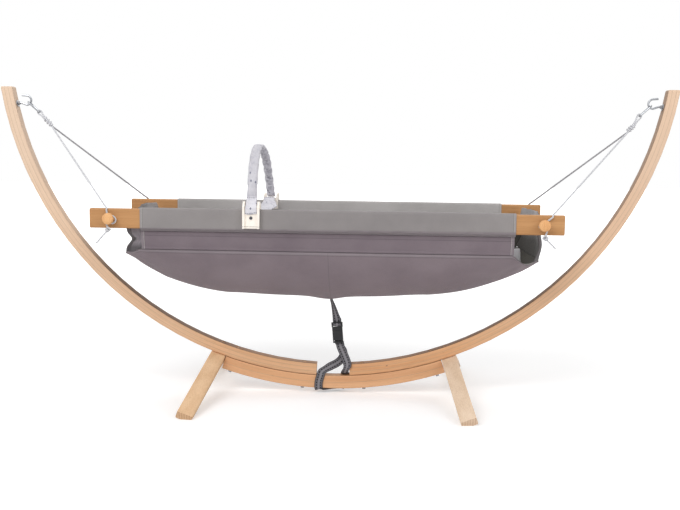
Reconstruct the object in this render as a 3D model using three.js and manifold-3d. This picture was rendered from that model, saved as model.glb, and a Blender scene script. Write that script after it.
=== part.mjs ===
// A baby hammock with a toy arch, hung by ropes between the two arms of a curved wooden stand.
// Millimetres, +Z up, x runs along the stand, the front looks towards -y and the floor is z = 0.
import * as THREE from 'three';
import { mergeVertices } from 'three/addons/utils/BufferGeometryUtils.js';
import Module from 'manifold-3d';

const wasm = await Module();
wasm.setup();

// Clearances
const gap = 0.3;
const overrun = 5;
const weld = 0.0001;

// Stand: one circle carries the arms above it and the lower piece under it
const armRadius = 1010;
const armDeep = 35;
const armWide = 35;
const armRound = 3.5;
const lowerThick = 40;
const lowerHalf = 325;
const floorClear = 12;
const tipLevel = 912;
const armGapHalf = 51;
const arcCentreZ = floorClear + lowerThick + gap + armRadius;
const armSteps = 22;
const lowerSteps = 20;

// Feet: one board each, standing across the arm on a flat seat
const footWide = 45;
const footHalfSpan = 351;
const footSeatHalf = 24;
const footThick = 21;
const footMiddleThick = 26;
const footRound = 2;
const footSink = 2;
const footAngle = Math.asin((lowerHalf + 1.5 * gap + footWide / 2) / armRadius);

// Bolts, nuts and washers
const shankRadius = 3;
const boreRadius = 3.4;
const headRadius = 5.5;
const headTall = 5;
const recessRadius = 7;
const recessDeep = 8;
const keyRadius = 2.9;
const keyDeep = 3;
const nutAcross = 10;
const nutTall = 5;
const flangeRadius = 6.6;
const flangeTall = 1.2;
const spliceInner = 90;
const spliceOuter = 303;

// Hooks in the arm tips
const hookWire = 3.25;
const hookHeight = 862;
const hookRingRadius = 13.75;
const hookRingReach = 28.7;
const hookRingRise = 10;
const hookBore = 22;
const hookStandOff = 12;
const hookTipOut = 14.1;
const hookTipRise = 14.7;
const hookWasherRadius = 10.3;
const hookWasherThick = 1.6;
const hookNutTall = 5.5;

// Snap hooks, lengths along the pull measured from the top bow
const pullAngle = THREE.MathUtils.degToRad(42.8);
const snapWire = 2.5;
const snapLength = 45;
const snapTopRadius = 9.5;
const snapFootRadius = 6;
const snapSlack = 0.5;
const gateRadius = 2;
const gateFrom = 12;
const gateTo = 33;

// Ropes
const ropeRadius = 2.4;
const ropeSides = 8;
const ropePair = 2.7;
const ropeStep = 14.4;
const knotCoilRadius = 5.2;
const knotCoreRadius = 5;
const knotTurns = 3;
const smallKnotRadius = 4.2;

// Knots: pairs of inward and down from the middle of a hook ring, and of outward and down from a peg
const snapKnots = { left: [[51.5, 51], [75.5, 75]], right: [[51.5, 61], [70.5, 80]] };
const pegKnots = { left: [[2.5, 30.1], [32.1, 65.4]], right: [[3.5, 33.9], [29, 59.9]] };
const railCrossing = { left: 8, right: 23.5 };

// Hammock frame, in its own axes: the origin lies midway between the tops of the rails
const hammockX = -13.5;
const hammockZ = 564;
const hammockTilt = THREE.MathUtils.degToRad(0.25);
const pegReach = 80;
const railEndReach = 57.5;
const railHigh = 55;
const railThick = 20;
const railOuter = 238;
const railRound = 4;
const pegHeadRadius = 16.5;
const pegNeckRadius = 7;
const pegNeckLong = 15;
const pegHeadLong = 12;
const pegTenonRadius = 6;
const pegTenonLong = 15;
const wrapSlack = 0.8;
const wrapFrom = THREE.MathUtils.degToRad(50);
const wrapTo = THREE.MathUtils.degToRad(-353);

// Cloth body, its lengths beyond the sleeves given for each end
const sleeveHalf = 519;
const sleeveWall = 2.3;
const sleeveHem = 62;
const panelThick = 2.4;
const stitchY = 225;
const seamY = 215;
const seamZ = -113;
const pipingThick = 5;
const bodyDepth = 265;
const bodyRiseLong = 325;
const bodyRise = 112;
const bodyPower = 2.2;
const bodyEndReach = { left: 94, right: 100 };
const bodyCornerReach = { left: 47, right: 66 };
const cornerDip = { left: 0, right: 26 };
const dipPower = 8;
const cornerDraw = 10;
const pullDepth = 11;
const pullReach = 90;
const endTopReach = { left: 46, right: 74 };
const endBulge = 14;
const endTopDrop = 9;
const endHump = 5;
const endPinch = { left: 15, right: -2 };
const endFold = 3;
const endLift = 2.7;
const endWrap = { left: 43, right: 0 };
const wrapFold = 1.6;
const mattressOver = 16;
const mattressHalfWide = 165;
const mattressThick = 48;
const mattressRest = 3.6;

const bodyEndMost = sleeveHalf + Math.max(bodyEndReach.left, bodyEndReach.right);
const pegX = sleeveHalf + pegReach;
const railHalf = pegX + railEndReach;

// Strap and buckle; the strap's two free runs are given as x, y and height over the lower piece
const webWide = 25;
const webThick = 1.6;
const strapDownX = 36;
const strapUpX = -37;
const strapDown = [
  [35, -16, 58, 25],
  [44, -20.6, 32, 25],
  [40, -20.6, 18, 19],
  [36, -13.5, 7, 23],
  [36, -3, 1.5, 25],
];
const strapClimb = [
  [-10, -7, 22],
  [10, -4, 32],
  [23, -3.5, 43],
  [31, -3.5, 57],
  [30, -4, 70],
  [22.5, -4.8, 84],
];
const buckleWide = 31;
const buckleThick = 11;
const buckleTall = 38;
const buckleX = 15;
const buckleY = -10;
const buckleZ = 153;
const buckleLean = THREE.MathUtils.degToRad(-4.4);
const socketWall = 2.6;
const plugBase = 10;
const prongWide = 4.5;
const ladderTall = 14;
const ladderThick = 5;
const ladderBar = 4;
const barHigh = 4;
const slotHigh = 4.2;

// Toy arch, centred on archX of the hammock axes
const archX = -202.5;
const archWide = 33;
const archThick = 16;
const archRound = 6.5;
const clipWide = 47;
const clipWall = 6;
const clipSlide = 0.8;
const clipDrop = 49;
const clipEar = 16;
const clipEarSlant = 7;
const buttonRadius = 4.5;
const buttonTall = 2.5;
const archBandWide = 30;
const archBandThick = 2;
const archLegs = [[-228, 10.8], [-224, 50], [-214, 86], [-198, 116], [-170, 146], [-130, 168], [-85, 176]];
const archBack = [[-30, 172], [30, 158], [93, 132], [140, 96], [180, 58], [208, 30], [223, 14]];

const vec = (x, y, z) => new THREE.Vector3(x, y, z);
const sides = { left: -1, right: 1 };

// Closed geometry from points and faces, turned outward if need be
function closed(points, faces) {
  let volume = 0;
  for (const [a, b, c] of faces) {
    volume += points[a].dot(points[b].clone().cross(points[c]));
  }
  const outward = volume < 0 ? faces.map(([a, b, c]) => [a, c, b]) : faces;
  const geometry = new THREE.BufferGeometry();
  const numbers = points.flatMap((point) => point.toArray());
  geometry.setAttribute('position', new THREE.Float32BufferAttribute(numbers, 3));
  geometry.setIndex(outward.flat());
  return geometry;
}

// A flat outline carried through places, each a function from outline point to space
function sweep(outline, places) {
  const count = outline.length;
  const points = places.flatMap((place) => outline.map(([a, b]) => place(a, b)));
  const faces = [];
  for (let i = 0; i + 1 < places.length; i += 1) {
    for (let j = 0; j < count; j += 1) {
      const here = i * count + j;
      const next = i * count + ((j + 1) % count);
      faces.push([here, next, next + count], [here, next + count, here + count]);
    }
  }
  const flat = outline.map(([a, b]) => new THREE.Vector2(a, b));
  const outlineTurns = THREE.ShapeUtils.isClockWise(flat);
  const last = (places.length - 1) * count;
  for (const [a, b, c] of THREE.ShapeUtils.triangulateShape(flat, [])) {
    const same = THREE.ShapeUtils.isClockWise([flat[a], flat[b], flat[c]]) === outlineTurns;
    const [p, q, r] = same ? [a, b, c] : [a, c, b];
    faces.push([p, r, q], [last + p, last + q, last + r]);
  }
  return closed(points, faces);
}

// A solid between an upper and a lower skin over the unit square
function shell(upper, lower, alongSteps, acrossSteps) {
  const points = [];
  const faces = [];
  const at = (layer, i, j) => (layer * (alongSteps + 1) + i) * (acrossSteps + 1) + j;
  const quad = (a, b, c, d) => faces.push([a, b, c], [a, c, d]);
  for (const skin of [upper, lower]) {
    for (let i = 0; i <= alongSteps; i += 1) {
      for (let j = 0; j <= acrossSteps; j += 1) {
        points.push(skin(i / alongSteps, j / acrossSteps));
      }
    }
  }
  for (let i = 0; i < alongSteps; i += 1) {
    for (let j = 0; j < acrossSteps; j += 1) {
      quad(at(0, i, j), at(0, i + 1, j), at(0, i + 1, j + 1), at(0, i, j + 1));
      quad(at(1, i, j), at(1, i, j + 1), at(1, i + 1, j + 1), at(1, i + 1, j));
    }
    quad(at(0, i + 1, 0), at(0, i, 0), at(1, i, 0), at(1, i + 1, 0));
    const far = acrossSteps;
    quad(at(0, i, far), at(0, i + 1, far), at(1, i + 1, far), at(1, i, far));
  }
  for (let j = 0; j < acrossSteps; j += 1) {
    quad(at(0, 0, j), at(0, 0, j + 1), at(1, 0, j + 1), at(1, 0, j));
    const end = alongSteps;
    quad(at(0, end, j + 1), at(0, end, j), at(1, end, j), at(1, end, j + 1));
  }
  return closed(points, faces);
}

// Cloth of a given thickness laid half on each side of a surface over the unit square
function cloth(surface, alongSteps, acrossSteps, thickness) {
  const step = 1 / 1000;
  const normal = (u, v) => {
    const along = surface(Math.min(u + step, 1), v).sub(surface(Math.max(u - step, 0), v));
    const across = surface(u, Math.min(v + step, 1)).sub(surface(u, Math.max(v - step, 0)));
    return along.cross(across).normalize();
  };
  const skin = (way) => (u, v) => surface(u, v).addScaledVector(normal(u, v), (way * thickness(u, v)) / 2);
  return shell(skin(1), skin(-1), alongSteps, acrossSteps);
}

function circleOutline(radius, count) {
  const turn = (2 * Math.PI) / count;
  return Array.from({ length: count }, (_, i) => [radius * Math.cos(i * turn), radius * Math.sin(i * turn)]);
}

// Rectangle from (0, -wide/2) to (deep, wide/2) with rounded corners of three points
function roundedOutline(deep, wide, round) {
  const corners = [[deep - round, wide / 2 - round], [round, wide / 2 - round]];
  corners.push([round, round - wide / 2], [deep - round, round - wide / 2]);
  return corners.flatMap(([a, b], i) => [0, 1, 2].map((k) => {
    const angle = (i * 2 + k) * (Math.PI / 4);
    return [a + round * Math.cos(angle), b + round * Math.sin(angle)];
  }));
}

// Round cord whose rings sit at the given points, without twist
function cordThrough(points, radius, count) {
  const tangents = points.map((_, i) => {
    const before = points[Math.max(i - 1, 0)];
    const after = points[Math.min(i + 1, points.length - 1)];
    return after.clone().sub(before).normalize();
  });
  const start = Math.abs(tangents[0].y) < 0.9 ? vec(0, 1, 0) : vec(1, 0, 0);
  let side = start;
  const places = points.map((centre, i) => {
    side = side.clone().addScaledVector(tangents[i], -side.dot(tangents[i])).normalize();
    const across = side.clone();
    const up = tangents[i].clone().cross(across);
    return (a, b) => centre.clone().addScaledVector(across, a).addScaledVector(up, b);
  });
  return sweep(circleOutline(radius, count), places);
}

// Flat band through stations of place, width direction and width
function band(stations, thickness, steps) {
  const middle = new THREE.CatmullRomCurve3(stations.map(({ at }) => at));
  const wide = new THREE.CatmullRomCurve3(stations.map(({ wide: way }) => way));
  const places = Array.from({ length: steps + 1 }, (_, i) => {
    const centre = middle.getPoint(i / steps);
    const tangent = middle.getTangent(i / steps);
    const across = wide.getPoint(i / steps);
    const width = across.length();
    across.addScaledVector(tangent, -across.dot(tangent)).normalize();
    const out = tangent.clone().cross(across);
    return (a, b) => centre.clone().addScaledVector(across, a * width).addScaledVector(out, b);
  });
  const half = thickness / 2;
  return sweep([[-0.5, -half], [0.5, -half], [0.5, half], [-0.5, half]], places);
}

function placed(geometry, origin, direction) {
  const turn = new THREE.Quaternion().setFromUnitVectors(vec(0, 0, 1), direction.clone().normalize());
  return geometry.applyQuaternion(turn).translate(origin.x, origin.y, origin.z);
}

// Straight round rod between two points
function rod(from, to, radius, count) {
  const length = from.distanceTo(to);
  const geometry = new THREE.CylinderGeometry(radius, radius, length, count).rotateX(Math.PI / 2);
  geometry.translate(0, 0, length / 2);
  return placed(geometry, from, to.clone().sub(from));
}

// Lathe about +Z from pairs of radius and height that start and end on the axis
function turned(profile, count) {
  const points = profile.map(([radius, height]) => new THREE.Vector2(radius, height));
  return new THREE.LatheGeometry(points, count).rotateX(Math.PI / 2);
}

function block(low, high) {
  const size = high.clone().sub(low);
  const middle = high.clone().add(low).multiplyScalar(0.5);
  return new THREE.BoxGeometry(size.x, size.y, size.z).translate(middle.x, middle.y, middle.z);
}

function solid(geometry) {
  const plain = geometry.clone();
  plain.deleteAttribute('normal');
  plain.deleteAttribute('uv');
  const merged = mergeVertices(plain, weld);
  const vertProperties = new Float32Array(merged.attributes.position.array);
  const triVerts = new Uint32Array(merged.index.array);
  return new wasm.Manifold(new wasm.Mesh({ numProp: 3, vertProperties, triVerts }));
}

function geometryOf(body) {
  const { vertProperties, triVerts } = body.getMesh();
  const geometry = new THREE.BufferGeometry();
  geometry.setAttribute('position', new THREE.BufferAttribute(vertProperties, 3));
  geometry.setIndex(new THREE.BufferAttribute(triVerts, 1));
  return geometry;
}

function cut(from, ...tools) {
  return geometryOf(tools.reduce((body, tool) => body.subtract(solid(tool)), solid(from)));
}

function join(first, ...rest) {
  return geometryOf(rest.reduce((body, other) => body.add(solid(other)), solid(first)));
}

const part = new THREE.Group();
part.name = 'baby_hammock';

function add(name, geometry, colour, roughness = 0.7, metalness = 0) {
  const shape = geometryOf(solid(geometry)).toNonIndexed();
  shape.computeVertexNormals();
  const finish = { name: `${name}_finish`, color: colour, roughness, metalness };
  const material = new THREE.MeshStandardMaterial(finish);
  const mesh = new THREE.Mesh(shape, material);
  mesh.name = name;
  part.add(mesh);
}

const wood = '#c99a63';
const railWood = '#b9834f';
const pegWood = '#d9a86c';
const zinc = '#a9acb0';
const rope = '#c9cace';
const clothGrey = '#8d8784';
const clothViolet = '#75696f';
const clothWhite = '#e6e6ea';
const webbing = '#6c6a72';
const blackPlastic = '#1d1e21';
const cream = '#e6dccd';
const hoopCloth = '#d9dbe4';
const darkStud = '#4a4a4e';

// Point on a circle about the centre of the stand, the angle counted from straight down
function onArc(radius, angle, y = 0) {
  return vec(radius * Math.sin(angle), y, arcCentreZ - radius * Math.cos(angle));
}

const angleOf = (x) => Math.asin(x / armRadius);

// How far the middle of an arm's straight step lies inside its circle
const armTurn = Math.acos((arcCentreZ - tipLevel) / armRadius) - angleOf(armGapHalf);
const chordSag = armRadius * (1 - Math.cos(armTurn / (2 * armSteps)));

// Arm from the middle of the stand to a level tip, drilled for its bolts and hook
function arm(side) {
  const outline = roundedOutline(armDeep, armWide, armRound);
  const startAngle = angleOf(armGapHalf);
  const tipAngle = (radius, level) => Math.acos((arcCentreZ - level) / radius);
  const shares = Array.from({ length: armSteps }, (_, i) => i / armSteps);
  const place = (share, level, inset) => (deep, y) => {
    const middleDeep = armDeep / 2;
    const inDeep = middleDeep + (deep - middleDeep) * (1 - inset / middleDeep);
    const inY = y * (1 - inset / (armWide / 2));
    const radius = armRadius - inDeep;
    const angle = THREE.MathUtils.lerp(startAngle, tipAngle(radius, level), share);
    return onArc(radius, side * angle, inY);
  };
  const ease = armRound;
  const places = shares.map((share) => place(share, tipLevel - ease, 0));
  places.push(place(1, tipLevel - ease, 0));
  places.push(place(1, tipLevel - ease / 3, ease / 3));
  places.push(place(1, tipLevel, ease));
  const drilled = [angleOf(spliceInner), angleOf(spliceOuter), footAngle];
  const bores = drilled.flatMap((angle) => boltBores(side * angle));
  return cut(sweep(outline, places), ...bores, hookBoreTool(side));
}

// Through bore and head recess of one radial bolt
function boltBores(angle) {
  const top = onArc(armRadius - armDeep - overrun, angle);
  const foot = onArc(armRadius + lowerThick + overrun, angle);
  const recessEnd = onArc(armRadius - armDeep + recessDeep, angle);
  return [rod(top, foot, boreRadius, 10), rod(top, recessEnd, recessRadius, 12)];
}

function lowerArc() {
  const outline = roundedOutline(lowerThick, armWide, armRound);
  const innerRadius = armRadius + gap;
  const endAngle = angleOf(lowerHalf);
  const places = Array.from({ length: lowerSteps + 1 }, (_, i) => {
    const angle = endAngle * ((2 * i) / lowerSteps - 1);
    return (deep, y) => onArc(innerRadius + lowerThick - deep, angle, y);
  });
  const drilled = [-spliceOuter, -spliceInner, spliceInner, spliceOuter].map(angleOf);
  return cut(sweep(outline, places), ...drilled.map((angle) => boltBores(angle)[0]));
}

// Frame of axes at a foot seat: y, inward and tangent directions
function footMatrix(side) {
  const angle = side * footAngle;
  const inward = vec(-Math.sin(angle), 0, Math.cos(angle));
  const tangent = vec(Math.cos(angle), 0, Math.sin(angle));
  const matrix = new THREE.Matrix4().makeBasis(vec(0, 1, 0), inward, tangent);
  return matrix.setPosition(onArc(armRadius + gap, angle));
}

function foot(side) {
  const seatHeight = onArc(armRadius + gap, footAngle).z;
  const reach = (seatHeight + footSink) / Math.cos(footAngle);
  const run = footHalfSpan - footSeatHalf;
  let slope = Math.atan2(reach - footThick, run);
  for (let i = 0; i < 4; i += 1) {
    slope = Math.atan2(reach - footThick * Math.cos(slope), run);
  }
  const topDrop = run * Math.tan(slope);
  const innerX = footHalfSpan - footThick * Math.sin(slope);
  const innerDrop = topDrop + footThick * Math.cos(slope);
  const middleHalf = footSeatHalf / 2;
  const shape = new THREE.Shape();
  shape.moveTo(-footSeatHalf, 0);
  shape.lineTo(-footHalfSpan, -topDrop);
  shape.lineTo(-innerX, -innerDrop);
  shape.lineTo(-middleHalf, -footMiddleThick);
  shape.lineTo(middleHalf, -footMiddleThick);
  shape.lineTo(innerX, -innerDrop);
  shape.lineTo(footHalfSpan, -topDrop);
  shape.lineTo(footSeatHalf, 0);
  const depth = footWide - 2 * footRound;
  const bevel = { bevelThickness: footRound, bevelSize: footRound, bevelOffset: -footRound };
  bevel.bevelSegments = 2;
  const board = new THREE.ExtrudeGeometry(shape, { depth, steps: 1, ...bevel });
  board.translate(0, 0, -depth / 2).applyMatrix4(footMatrix(side));
  const far = armRadius;
  const floor = block(vec(-far, -far, -far), vec(far, far, 0));
  return cut(board, floor, boltBores(side * footAngle)[0]);
}

// Round-headed bolt with a six-sided key hole, its head down at the origin and its shank along +Z
function bolt(length) {
  const profile = [[0, 0], [headRadius, 0], [headRadius, headTall], [shankRadius, headTall]];
  profile.push([shankRadius, length], [0, length]);
  const key = turned([[0, -overrun], [keyRadius, -overrun], [keyRadius, keyDeep], [0, keyDeep]], 6);
  return cut(turned(profile, 10), key);
}

// Six-sided nut on a round flange, with its bore along +Z
function nut(tall, flange, flangeHigh) {
  const cornerRadius = nutAcross / Math.sqrt(3);
  const body = rod(vec(0, 0, 0), vec(0, 0, tall), cornerRadius, 6);
  const whole = flangeHigh > 0 ? join(body, rod(vec(0, 0, 0), vec(0, 0, flangeHigh), flange, 10)) : body;
  return cut(whole, rod(vec(0, 0, -overrun), vec(0, 0, tall + overrun), boreRadius, 8));
}

function radialBolt(name, angle, boardThick) {
  const outward = onArc(1, angle).sub(onArc(0, angle));
  const headAt = armRadius - armDeep + recessDeep - gap - headTall;
  const farFace = armRadius + gap + boardThick;
  const length = farFace + flangeTall + nutTall + gap - headAt;
  add(`${name}_bolt`, placed(bolt(length), onArc(headAt, angle), outward), zinc, 0.4, 0.8);
  const nutShape = nut(nutTall + flangeTall, flangeRadius, flangeTall);
  add(`${name}_nut`, placed(nutShape, onArc(farFace + gap, angle), outward), zinc, 0.4, 0.8);
}

// Hook axes at an arm tip: the point on the inner face and the direction away from the wood
function hookFrame(side) {
  const radius = armRadius - armDeep;
  const angle = side * Math.acos((arcCentreZ - hookHeight) / radius);
  return { face: onArc(radius, angle), out: vec(-Math.sin(angle), 0, Math.cos(angle)) };
}

// Middle of the ring bent at the end of a hook
function hookRing(side) {
  const { face } = hookFrame(side);
  return face.clone().add(vec(-side * hookRingReach, 0, hookRingRise));
}

function hookBoreTool(side) {
  const { face, out } = hookFrame(side);
  const from = face.clone().addScaledVector(out, overrun);
  const to = face.clone().addScaledVector(out, -hookBore - gap);
  return rod(from, to, hookWire + 2 * gap, 12);
}

function hook(side) {
  const { face, out } = hookFrame(side);
  const centre = hookRing(side);
  const ringPoint = (turn) => {
    const inward = -side * hookRingRadius * Math.sin(turn);
    return centre.clone().add(vec(inward, 0, -hookRingRadius * Math.cos(turn)));
  };
  const farOut = [-hookBore, -hookBore / 2, 0, hookStandOff / 3, (2 * hookStandOff) / 3, hookStandOff];
  const stud = farOut.map((far) => face.clone().addScaledVector(out, far));
  const ring = Array.from({ length: 13 }, (_, i) => ringPoint((Math.PI * i) / 12));
  const tip = centre.clone().add(vec(side * hookTipOut, 0, hookTipRise));
  const route = new THREE.CatmullRomCurve3([...stud, ...ring, ringPoint(Math.PI).lerp(tip, 0.5), tip]);
  return cordThrough(route.getPoints(26), hookWire, 8);
}

function hookNut(side) {
  const { face, out } = hookFrame(side);
  const from = face.clone().addScaledVector(out, chordSag + 2 * gap + hookWasherThick);
  const body = rod(vec(0, 0, 0), vec(0, 0, hookNutTall), nutAcross / Math.sqrt(3), 6);
  const bore = rod(vec(0, 0, -overrun), vec(0, 0, hookNutTall + overrun), hookWire + 2 * gap, 12);
  return placed(cut(body, bore), from, out);
}

function hookWasher(side) {
  const { face, out } = hookFrame(side);
  const from = face.clone().addScaledVector(out, chordSag + gap);
  const body = rod(vec(0, 0, 0), vec(0, 0, hookWasherThick), hookWasherRadius, 16);
  const bore = rod(vec(0, 0, -overrun), vec(0, 0, hookWasherThick + overrun), hookWire + 2 * gap, 12);
  return placed(cut(body, bore), from, out);
}

// Snap hook axes: along the pull, across in y, and square to both
function snapFrame(side) {
  const pull = vec(-side * Math.cos(pullAngle), 0, -Math.sin(pullAngle));
  const inside = hookRingRadius - hookWire - snapWire - snapSlack;
  const top = hookRing(side).addScaledVector(pull, inside);
  return (along, y) => top.clone().addScaledVector(pull, along).add(vec(0, y, 0));
}

// Lean of the straight sides between the wide top bow and the narrow foot bow
const snapLean = Math.asin((snapTopRadius - snapFootRadius) / (snapLength - snapTopRadius - snapFootRadius));

// Place on the gate side of the snap hook at a given distance along the pull
function gateLine(along) {
  const topAlong = snapTopRadius * (1 - Math.sin(snapLean));
  const topY = snapTopRadius * Math.cos(snapLean);
  return topY - (along - topAlong) * Math.tan(snapLean);
}

function snapHook(side) {
  const place = snapFrame(side);
  const bow = (centre, radius, from, to, count) => Array.from({ length: count + 1 }, (_, i) => {
    const turn = from + ((to - from) * i) / count;
    return place(centre + radius * Math.sin(turn), radius * Math.cos(turn));
  });
  const rest = snapLean;
  const nose = place(gateFrom - gateRadius - gap, gateLine(gateFrom - gateRadius - gap));
  const top = bow(snapTopRadius, snapTopRadius, -rest, -Math.PI + rest, 9);
  const spine = [0.35, 0.7].map((share) => {
    const along = THREE.MathUtils.lerp(snapTopRadius, snapLength - snapFootRadius, share);
    return place(along, -gateLine(along));
  });
  const foot = bow(snapLength - snapFootRadius, snapFootRadius, Math.PI + rest, -rest, 8);
  const stub = place(gateTo + gateRadius + gap, gateLine(gateTo + gateRadius + gap));
  return cordThrough([nose, ...top, ...spine, ...foot, stub], snapWire, 8);
}

function snapGate(side) {
  const place = snapFrame(side);
  const from = place(gateTo, gateLine(gateTo));
  const to = place(gateFrom, gateLine(gateFrom));
  const length = from.distanceTo(to);
  const arc = (centre, start) => [0, 1, 2, 3].map((k) => {
    const turn = start + (k * Math.PI) / 6;
    return [Math.max(gateRadius * Math.cos(turn), 0), centre + gateRadius * Math.sin(turn)];
  });
  return placed(turned([...arc(0, -Math.PI / 2), ...arc(length, 0)], 10), from, to.clone().sub(from));
}

// The two ends of the knot that closes a rope eye
function snapKnot(name) {
  const side = sides[name];
  const ring = hookRing(side);
  return snapKnots[name].map(([inward, down]) => ring.clone().add(vec(-side * inward, 0, -down)));
}

// Coil of a few turns about a line, the body of a knot
function knotCoil(from, to, radius, turns) {
  const turnSteps = 8;
  const count = turns * turnSteps;
  const line = to.clone().sub(from);
  const length = line.length();
  const points = Array.from({ length: count + 1 }, (_, i) => {
    const turn = (2 * Math.PI * i) / turnSteps;
    return vec(radius * Math.cos(turn), radius * Math.sin(turn), (length * i) / count);
  });
  return placed(cordThrough(points, ropeRadius, ropeSides), from, line);
}

// Rope eye through the foot bow of a snap hook, closed by a knot
function ropeLoop(name) {
  const side = sides[name];
  const place = snapFrame(side);
  const [knotTop, knotEnd] = snapKnot(name);
  const centre = place(snapLength, 0);
  const pull = place(1, 0).sub(place(0, 0));
  const across = vec(pull.z, 0, -pull.x);
  const radius = snapWire + ropeRadius + 3 * gap;
  const bend = Array.from({ length: 9 }, (_, i) => {
    const turn = (Math.PI * i) / 8;
    const point = centre.clone().addScaledVector(across, radius * Math.cos(turn));
    return point.addScaledVector(pull, -radius * Math.sin(turn));
  });
  const line = knotEnd.clone().sub(knotTop).normalize();
  const inside = knotTop.clone().addScaledVector(line, knotCoreRadius);
  const half = bend[0].clone().lerp(inside, 0.5);
  const otherHalf = bend[8].clone().lerp(inside, 0.5);
  const first = inside.clone().addScaledVector(across, ropePair);
  const last = inside.clone().addScaledVector(across, -ropePair);
  const eye = cordThrough([first, half, ...bend, otherHalf, last], ropeRadius, ropeSides);
  const coilFrom = knotTop.clone().addScaledVector(line, ropeRadius);
  const coilTo = knotEnd.clone().addScaledVector(line, -ropeRadius);
  const coil = knotCoil(coilFrom, coilTo, knotCoilRadius, knotTurns);
  return join(rod(knotTop, knotEnd, knotCoreRadius, 10), eye, coil);
}

const hammockMatrix = new THREE.Matrix4().makeRotationY(hammockTilt).setPosition(hammockX, 0, hammockZ);
const onHammock = (x, y, z) => vec(x, y, z).applyMatrix4(hammockMatrix);

// Rope from a knot over the rail and round the neck of a peg to its end knot and tail
function hangingRope(name, way) {
  const side = sides[name];
  const [, knotEnd] = snapKnot(name);
  const start = knotEnd.add(vec(-side * gap, way * ropePair, -2 * gap - ropeRadius));
  const bendRadius = railRound + ropeRadius + 2 * gap;
  const peg = onHammock(side * pegX, way * railOuter, -railHigh / 2);
  const crossX = side * (pegX + railCrossing[name]);
  const railTop = onHammock(crossX, way * (railOuter - railRound), -railRound);
  const overRail = [0.1, 0.5, 0.9].map((share) => {
    const turn = (Math.PI / 4) * (1 + share);
    return railTop.clone().add(vec(0, way * bendRadius * Math.sin(turn), bendRadius * Math.cos(turn)));
  });
  const runSteps = Math.round(start.distanceTo(overRail[0]) / ropeStep);
  const run = Array.from({ length: runSteps }, (_, i) => start.clone().lerp(overRail[0], i / runSteps));
  const wrapRadius = pegNeckRadius + ropeRadius + wrapSlack;
  const firstY = ropeRadius + 2 * gap;
  const lastY = pegNeckLong - ropeRadius - 2 * gap;
  const wrapSteps = 11;
  const wrap = Array.from({ length: wrapSteps + 1 }, (_, i) => {
    const turn = THREE.MathUtils.lerp(wrapFrom, wrapTo, i / wrapSteps);
    const y = way * THREE.MathUtils.lerp(firstY, lastY, i / wrapSteps);
    return peg.clone().add(vec(side * wrapRadius * Math.cos(turn), y, wrapRadius * Math.sin(turn)));
  });
  const [[knotOut, knotDown], [tailOut, tailDown]] = pegKnots[name];
  const outward = way * (pegNeckLong - ropeRadius);
  const knot = peg.clone().add(vec(side * knotOut, outward, -knotDown));
  const tail = peg.clone().add(vec(side * tailOut, outward + way * ropeRadius, -tailDown));
  const points = [...run, ...overRail, ...wrap];
  points.push(wrap[wrapSteps].clone().lerp(knot, 0.5), knot, knot.clone().lerp(tail, 0.5), tail);
  const cord = cordThrough(points, ropeRadius, ropeSides);
  const ring = new THREE.TorusGeometry(smallKnotRadius, ropeRadius, 6, 10);
  return join(cord, placed(ring, knot, tail.clone().sub(knot)));
}

function peg(side, way) {
  const headFrom = pegNeckLong + gap;
  const profile = [[0, -pegTenonLong], [pegTenonRadius, -pegTenonLong], [pegTenonRadius, gap]];
  profile.push([pegNeckRadius, gap], [pegNeckRadius, headFrom], [pegHeadRadius - railRound, headFrom]);
  profile.push([pegHeadRadius, headFrom + pegHeadLong / 4], [pegHeadRadius, headFrom + pegHeadLong / 2]);
  profile.push([pegHeadRadius * 0.85, headFrom + pegHeadLong * 0.85]);
  profile.push([pegHeadRadius / 2, headFrom + pegHeadLong], [0, headFrom + pegHeadLong]);
  const face = vec(side * pegX, way * railOuter, -railHigh / 2);
  return placed(turned(profile, 12), face, vec(0, way, 0)).applyMatrix4(hammockMatrix);
}

function rail(way) {
  const outline = roundedOutline(railThick, railHigh, railRound);
  const place = (x, inset) => (a, b) => {
    const inA = railThick / 2 + (a - railThick / 2) * (1 - (2 * inset) / railThick);
    return vec(x, way * (railOuter - inA), b * (1 - (2 * inset) / railHigh) - railHigh / 2);
  };
  const ends = [place(-railHalf, railRound / 2), place(-railHalf + railRound / 2, 0)];
  ends.push(place(railHalf - railRound / 2, 0), place(railHalf, railRound / 2));
  const holes = [-pegX, pegX].map((x) => {
    const from = vec(x, way * (railOuter + overrun), -railHigh / 2);
    const to = vec(x, way * (railOuter - pegTenonLong - gap), -railHigh / 2);
    return rod(from, to, pegTenonRadius + 2 * gap, 12);
  });
  return cut(sweep(outline, ends), ...holes).applyMatrix4(hammockMatrix);
}

// Cloth tunnel round a rail, drawn together under it to the stitched hem
function sleeve(way) {
  const inner = 2 * gap;
  const outer = 2 * gap + sleeveWall;
  const ringAt = (off) => {
    const left = railOuter + off;
    const right = railOuter - railThick - off;
    const top = off;
    const foot = -railHigh - off;
    const round = railRound + off;
    const nick = round / 3;
    const points = [[left, foot], [left, top - round], [left - nick, top - nick], [left - round, top]];
    points.push([right + round, top], [right + nick, top - nick], [right, top - round], [right, foot]);
    return points;
  };
  const outline = ringAt(outer);
  outline.push([stitchY - 2 * sleeveWall, -railHigh - 2 * outer]);
  outline.push([stitchY - sleeveWall, -sleeveHem], [stitchY + sleeveWall, -sleeveHem]);
  outline.push([stitchY + 3 * sleeveWall, -railHigh - 2 * outer]);
  const place = (x) => (y, z) => vec(x, way * y, z);
  const tunnel = sweep(ringAt(inner), [place(-sleeveHalf - overrun), place(sleeveHalf + overrun)]);
  const whole = sweep(outline, [place(-sleeveHalf), place(sleeveHalf)]);
  return cut(whole, tunnel).applyMatrix4(hammockMatrix);
}

const endName = (x) => (x < 0 ? 'left' : 'right');

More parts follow.
